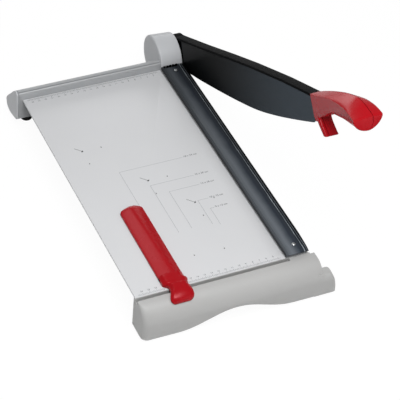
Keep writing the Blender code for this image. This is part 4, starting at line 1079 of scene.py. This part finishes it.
def ticksTree():
    tree = bpy.data.node_groups.new("ruleTicks", "GeometryNodeTree")
    face = tree.interface
    face.new_socket("Geometry", in_out="INPUT", socket_type="NodeSocketGeometry")
    kinds = {"Count": "Int", "Offset": "Int", "Start": "Vector", "Ink": "Material"}
    labels = ("Count", "Step", "Width", "Short", "Middle", "Long", "Depth", "Start", "Way", "Offset", "Ink")
    for label in labels:
        kind = kinds.get(label, "Float")
        face.new_socket(label, in_out="INPUT", socket_type="NodeSocket" + kind)
    face.new_socket("Geometry", in_out="OUTPUT", socket_type="NodeSocketGeometry")
    given, result = tree.nodes.new("NodeGroupInput").outputs, tree.nodes.new("NodeGroupOutput").inputs
    join = tree.links.new
    line = tree.nodes.new("GeometryNodeMeshLine")
    step = tree.nodes.new("ShaderNodeCombineXYZ")
    join(given["Step"], step.inputs[0])
    join(given["Count"], line.inputs["Count"])
    join(given["Start"], line.inputs["Start Location"])
    join(step.outputs[0], line.inputs["Offset"])
    index = tree.nodes.new("GeometryNodeInputIndex")
    place = addMath(tree, "ADD", index.outputs[0], given["Offset"])
    tenth = addMath(tree, "COMPARE", addMath(tree, "MODULO", place, 10.0), 0.0)
    fifth = addMath(tree, "COMPARE", addMath(tree, "MODULO", place, 5.0), 0.0)
    for flag in (tenth, fifth):
        flag.node.inputs[2].default_value = 0.1
    grow = addMath(tree, "SUBTRACT", given["Middle"], given["Short"])
    more = addMath(tree, "SUBTRACT", given["Long"], given["Middle"])
    length = addMath(tree, "ADD", given["Short"], addMath(tree, "MULTIPLY", fifth, grow))
    length = addMath(tree, "ADD", length, addMath(tree, "MULTIPLY", tenth, more))
    size = tree.nodes.new("ShaderNodeCombineXYZ")
    join(given["Width"], size.inputs[0])
    join(length, size.inputs[1])
    join(given["Depth"], size.inputs[2])
    bar = tree.nodes.new("GeometryNodeMeshCube")
    copies = tree.nodes.new("GeometryNodeInstanceOnPoints")
    join(line.outputs["Mesh"], copies.inputs["Points"])
    join(bar.outputs["Mesh"], copies.inputs["Instance"])
    join(size.outputs[0], copies.inputs["Scale"])
    drop = tree.nodes.new("ShaderNodeCombineXYZ")
    half = addMath(tree, "MULTIPLY", addMath(tree, "MULTIPLY", length, 0.5), given["Way"])
    join(half, drop.inputs[1])
    shift = tree.nodes.new("GeometryNodeTranslateInstances")
    shift.inputs["Local Space"].default_value = False
    join(copies.outputs["Instances"], shift.inputs["Instances"])
    join(drop.outputs[0], shift.inputs["Translation"])
    real = tree.nodes.new("GeometryNodeRealizeInstances")
    inked = tree.nodes.new("GeometryNodeSetMaterial")
    join(shift.outputs["Instances"], real.inputs["Geometry"])
    join(real.outputs["Geometry"], inked.inputs["Geometry"])
    join(given["Ink"], inked.inputs["Material"])
    join(inked.outputs["Geometry"], result["Geometry"])
    return tree


def runTree(name, tree, values, finish):
    # runs a geometry tree on an empty mesh and keeps its result as a plain mesh
    carrier = addObject(name, bpy.data.meshes.new(name))
    change = carrier.modifiers.new(tree.name, "NODES")
    change.node_group = tree
    inputs = [s for s in tree.interface.items_tree if s.item_type == "SOCKET" and s.in_out == "INPUT"]
    sockets = {socket.name: socket.identifier for socket in inputs}
    for label, value in values.items():
        change[sockets[label]] = value
    bake(carrier)
    coat(carrier, finish)
    for face in carrier.data.polygons:
        face.material_index = 0
    return carrier


ticks = ticksTree()
printHeight = rule["depth"] / 2 + ink["low"]
first, last = rule["ends"]
# the rules count from the cutting edge, so that ticks fall on whole millimetres from it
count = int(round((last - first) / rule["step"]))
startMm = int(math.ceil((table["width"] - last) * 1000))
startX = table["width"] - (startMm + count) / 1000
values = {label: rule[label.lower()] for label in ("Step", "Width", "Short", "Middle", "Long", "Depth")}
values.update({"Count": count + 1, "Offset": (10 - (startMm + count) % 10) % 10, "Ink": paint["printInk"]})
for name, y, way in (("rearRule", rule["rearY"], -1.0), ("frontRule", rule["frontY"], 1.0)):
    values.update({"Start": list(onTable((startX, y, printHeight))), "Way": way})
    settle(runTree(name, ticks, values, "printInk"), "base")
print("cutter: rules done")


def flatText(name, words, place, size, align="CENTER"):
    curve = bpy.data.curves.new(name, "FONT")
    curve.body = words
    curve.size = size
    curve.extrude = ink["half"]
    curve.align_x = align
    curve.align_y = "CENTER"
    made = addObject(name, curve)
    bpy.context.view_layer.update()
    mesh = bpy.data.meshes.new_from_object(made.evaluated_get(bpy.context.evaluated_depsgraph_get()))
    bpy.data.objects.remove(made, do_unlink=True)
    mesh.transform(Matrix.Translation(onTable((*place, ink["text"]))))
    return linkPiece(name, mesh, "printInk", 0)


numbers = []
for mm in range(startMm, startMm + count + 1):
    if mm % 10:
        continue
    x = table["width"] - mm / 1000
    rearLine = rule["rearY"] - rule["long"] - rule["rearGap"]
    frontLine = rule["frontY"] + rule["long"] + rule["frontGap"]
    for y in (rearLine, frontLine):
        numbers.append(flatText(f"number{mm}", str(mm // 10), (x, y), rule["numberSize"]))
settle(joinPieces("ruleNumbers", numbers, "printInk"), "base")

formats = {
    "cornerX": 0.2524, "baseY": -0.0064, "line": 0.00045, "depth": 0.00003, "labelLeft": 0.1700,
    "labelSize": 0.0046, "labelGap": 0.0015, "labelLift": 0.0008,
    "sizes": ((18, 24, 0.150), (15, 20, 0.094), (13, 18, 0.096), (10, 15, 0.094), (9, 13, 0.090)),
}
lines, labels = [], []
for wide, high, low in formats["sizes"]:
    left, top = formats["cornerX"] - wide / 100, formats["baseY"] + high / 100
    half, depth = formats["line"] / 2, formats["depth"]
    end = formats["labelLeft"] - formats["labelGap"]
    lines.append(boxPiece("across", (left - half, top - half, ink["low"]), (end, top + half, depth)))
    lines.append(boxPiece("down", (left - half, low, ink["low"]), (left + half, top, depth)))
    spot = (formats["labelLeft"], top + formats["labelLift"])
    labels.append(flatText("label", f"{wide} x {high} cm", spot, formats["labelSize"], "LEFT"))
settle(joinPieces("formatLines", lines, "faintInk"), "base")
settle(joinPieces("formatLabels", labels, "printInk"), "base")

marks = {
    # each target: its point, with a stroke to its upper left and a dot to its right and one below
    "targets": ((0.0400, 0.2923), (0.1040, 0.2043), (0.1474, 0.1418)), "right": (0.0286, -0.0004),
    "below": (0.0002, -0.0283), "stroke": (-0.0088, 0.0092), "more": ((0.1042, 0.0465), (0.1476, 0.0451)),
    "dot": 0.0008, "point": 0.0013, "width": 0.00055, "tick": 0.0022,
}
spots = []


def inkBar(a, b, width):
    # a flat printed bar from one point of the table to another
    way = Vector((b[0] - a[0], b[1] - a[1])).normalized() * width / 2
    corners = [(a[0] - way.y, a[1] + way.x), (a[0] + way.y, a[1] - way.x)]
    corners += [(b[0] + way.y, b[1] - way.x), (b[0] - way.y, b[1] + way.x)]
    return loft("inkBar", [[(x, y, z) for x, y in corners] for z in (ink["low"], ink["high"])], smooth=0)


def inkDot(spot, radius):
    return lathe("inkDot", ((ink["low"], radius), (ink["high"], radius)), "z", (*spot, 0), facets=20)


def inkSpot(x, y):
    # a small dot with a short thin tail above it
    spots.append(inkDot((x, y), marks["dot"]))
    spots.append(inkBar((x, y), (x, y + marks["tick"]), marks["width"] / 2))


for x, y in marks["targets"]:
    strokeX, strokeY = marks["stroke"]
    tick = marks["tick"]
    spots.append(inkDot((x, y), marks["point"]))
    spots.append(inkBar((x, y), (x + strokeX, y + strokeY), marks["width"]))
    spots.append(inkBar((x - tick, y - tick), (x + tick, y + tick), marks["width"] / 2))
    for dx, dy in (marks["right"], marks["below"]):
        inkSpot(x + dx, y + dy)
for x, y in marks["more"]:
    inkSpot(x, y)
settle(joinPieces("targetMarks", spots, "markInk"), "base")
print("cutter: print done")

# room, lamps and camera
room = {
    "size": 4.0, "world": 0.24, "white": 0.94, "glow": 1.02, "floor": 0.86, "floorRough": 0.9,
    "aim": (0.14, 0.20, 0.08),
    # each lamp: turn from straight behind, rise, distance, width, height, power
    "lamps": (
        ("keyLamp", 195.0, 64.0, 1.45, 0.80, 0.80, 17.0),
        ("backLamp", -16.0, 47.0, 1.60, 0.50, 0.36, 1.5), ("lowLamp", 20.0, 15.0, 1.60, 1.40, 0.45, 4.0),
        ("frontLamp", 152.0, 22.0, 1.90, 0.80, 0.60, 1.6),
    ),
}


def cameraSight(tree):
    # 1 where the camera looks straight at the surface or through clear pieces, else 0
    path = tree.nodes.new("ShaderNodeLightPath")
    return addMath(tree, "MAXIMUM", path.outputs["Is Camera Ray"], path.outputs["Is Transmission Ray"])


def buildRoom():
    half = room["size"]
    mesh = bpy.data.meshes.new("floor")
    corners = [(-half, -half, 0), (half, -half, 0), (half, half, 0), (-half, half, 0)]
    mesh.from_pydata(corners, [], [(0, 1, 2, 3)])
    floor = addObject("floor", mesh)
    pale = bpy.data.materials.new("paleFloor")
    pale.use_nodes = True
    tree = pale.node_tree
    shader = tree.nodes["Principled BSDF"]
    shader.inputs["Base Color"].default_value = (*[room["floor"]] * 3, 1.0)
    shader.inputs["Roughness"].default_value = room["floorRough"]
    glow = tree.nodes.new("ShaderNodeEmission")
    glow.inputs["Color"].default_value = (1.0, 1.0, 1.0, 1.0)
    glow.inputs["Strength"].default_value = room["glow"]
    share = addMath(tree, "MULTIPLY", cameraSight(tree), room["white"])
    blend = tree.nodes.new("ShaderNodeMixShader")
    tree.links.new(share, blend.inputs[0])
    tree.links.new(shader.outputs[0], blend.inputs[1])
    tree.links.new(glow.outputs[0], blend.inputs[2])
    tree.links.new(blend.outputs[0], tree.nodes["Material Output"].inputs["Surface"])
    mesh.materials.append(pale)
    world = bpy.data.worlds.new("studio")
    bpy.context.scene.world = world
    world.use_nodes = True
    tree = world.node_tree
    back = tree.nodes["Background"]
    back.inputs["Color"].default_value = (1.0, 1.0, 1.0, 1.0)
    strength = addMath(tree, "MULTIPLY", cameraSight(tree), 1.0 - room["world"])
    strength = addMath(tree, "ADD", strength, room["world"])
    tree.links.new(strength, back.inputs["Strength"])
    aim = Vector(room["aim"])
    for name, turn, rise, away, wide, tall, power in room["lamps"]:
        turn, rise = math.radians(turn), math.radians(rise)
        way = Vector((math.sin(turn) * math.cos(rise), math.cos(turn) * math.cos(rise), math.sin(rise)))
        place = aim + way * away
        lamp = bpy.data.lights.new(name, "AREA")
        lamp.shape = "RECTANGLE"
        lamp.size = wide
        lamp.size_y = tall
        lamp.energy = power
        made = addObject(name, lamp)
        made.location = place
        made.rotation_euler = (aim - place).to_track_quat("-Z", "Y").to_euler()


view = {
    "focal": 1761.42, "turn": 27.75, "down": 42.26, "roll": 5.48, "away": 2.42324,
    "aim": (0.15571, 0.14359, 0.0), "sensor": 36.0, "pixels": 400,
}


def buildCamera():
    turn, down, roll = (math.radians(view[k]) for k in ("turn", "down", "roll"))
    ahead = Vector((math.sin(turn) * math.cos(down), math.cos(turn) * math.cos(down), -math.sin(down)))
    right = Vector((math.cos(turn), -math.sin(turn), 0.0))
    up = right.cross(ahead)
    across = right * math.cos(roll) + up * math.sin(roll)
    upright = -right * math.sin(roll) + up * math.cos(roll)
    lens = bpy.data.cameras.new("photoCamera")
    lens.sensor_width = view["sensor"]
    lens.lens = view["focal"] / view["pixels"] * view["sensor"]
    lens.clip_end = 20.0
    made = addObject("photoCamera", lens)
    place = onTable(view["aim"]) - ahead * view["away"]
    turned = Matrix((across, upright, -ahead)).transposed().to_4x4()
    made.matrix_world = Matrix.Translation(place) @ turned
    bpy.context.scene.camera = made


buildRoom()
buildCamera()
bpy.context.scene.view_settings.view_transform = "Standard"
print("cutter: room and camera done")
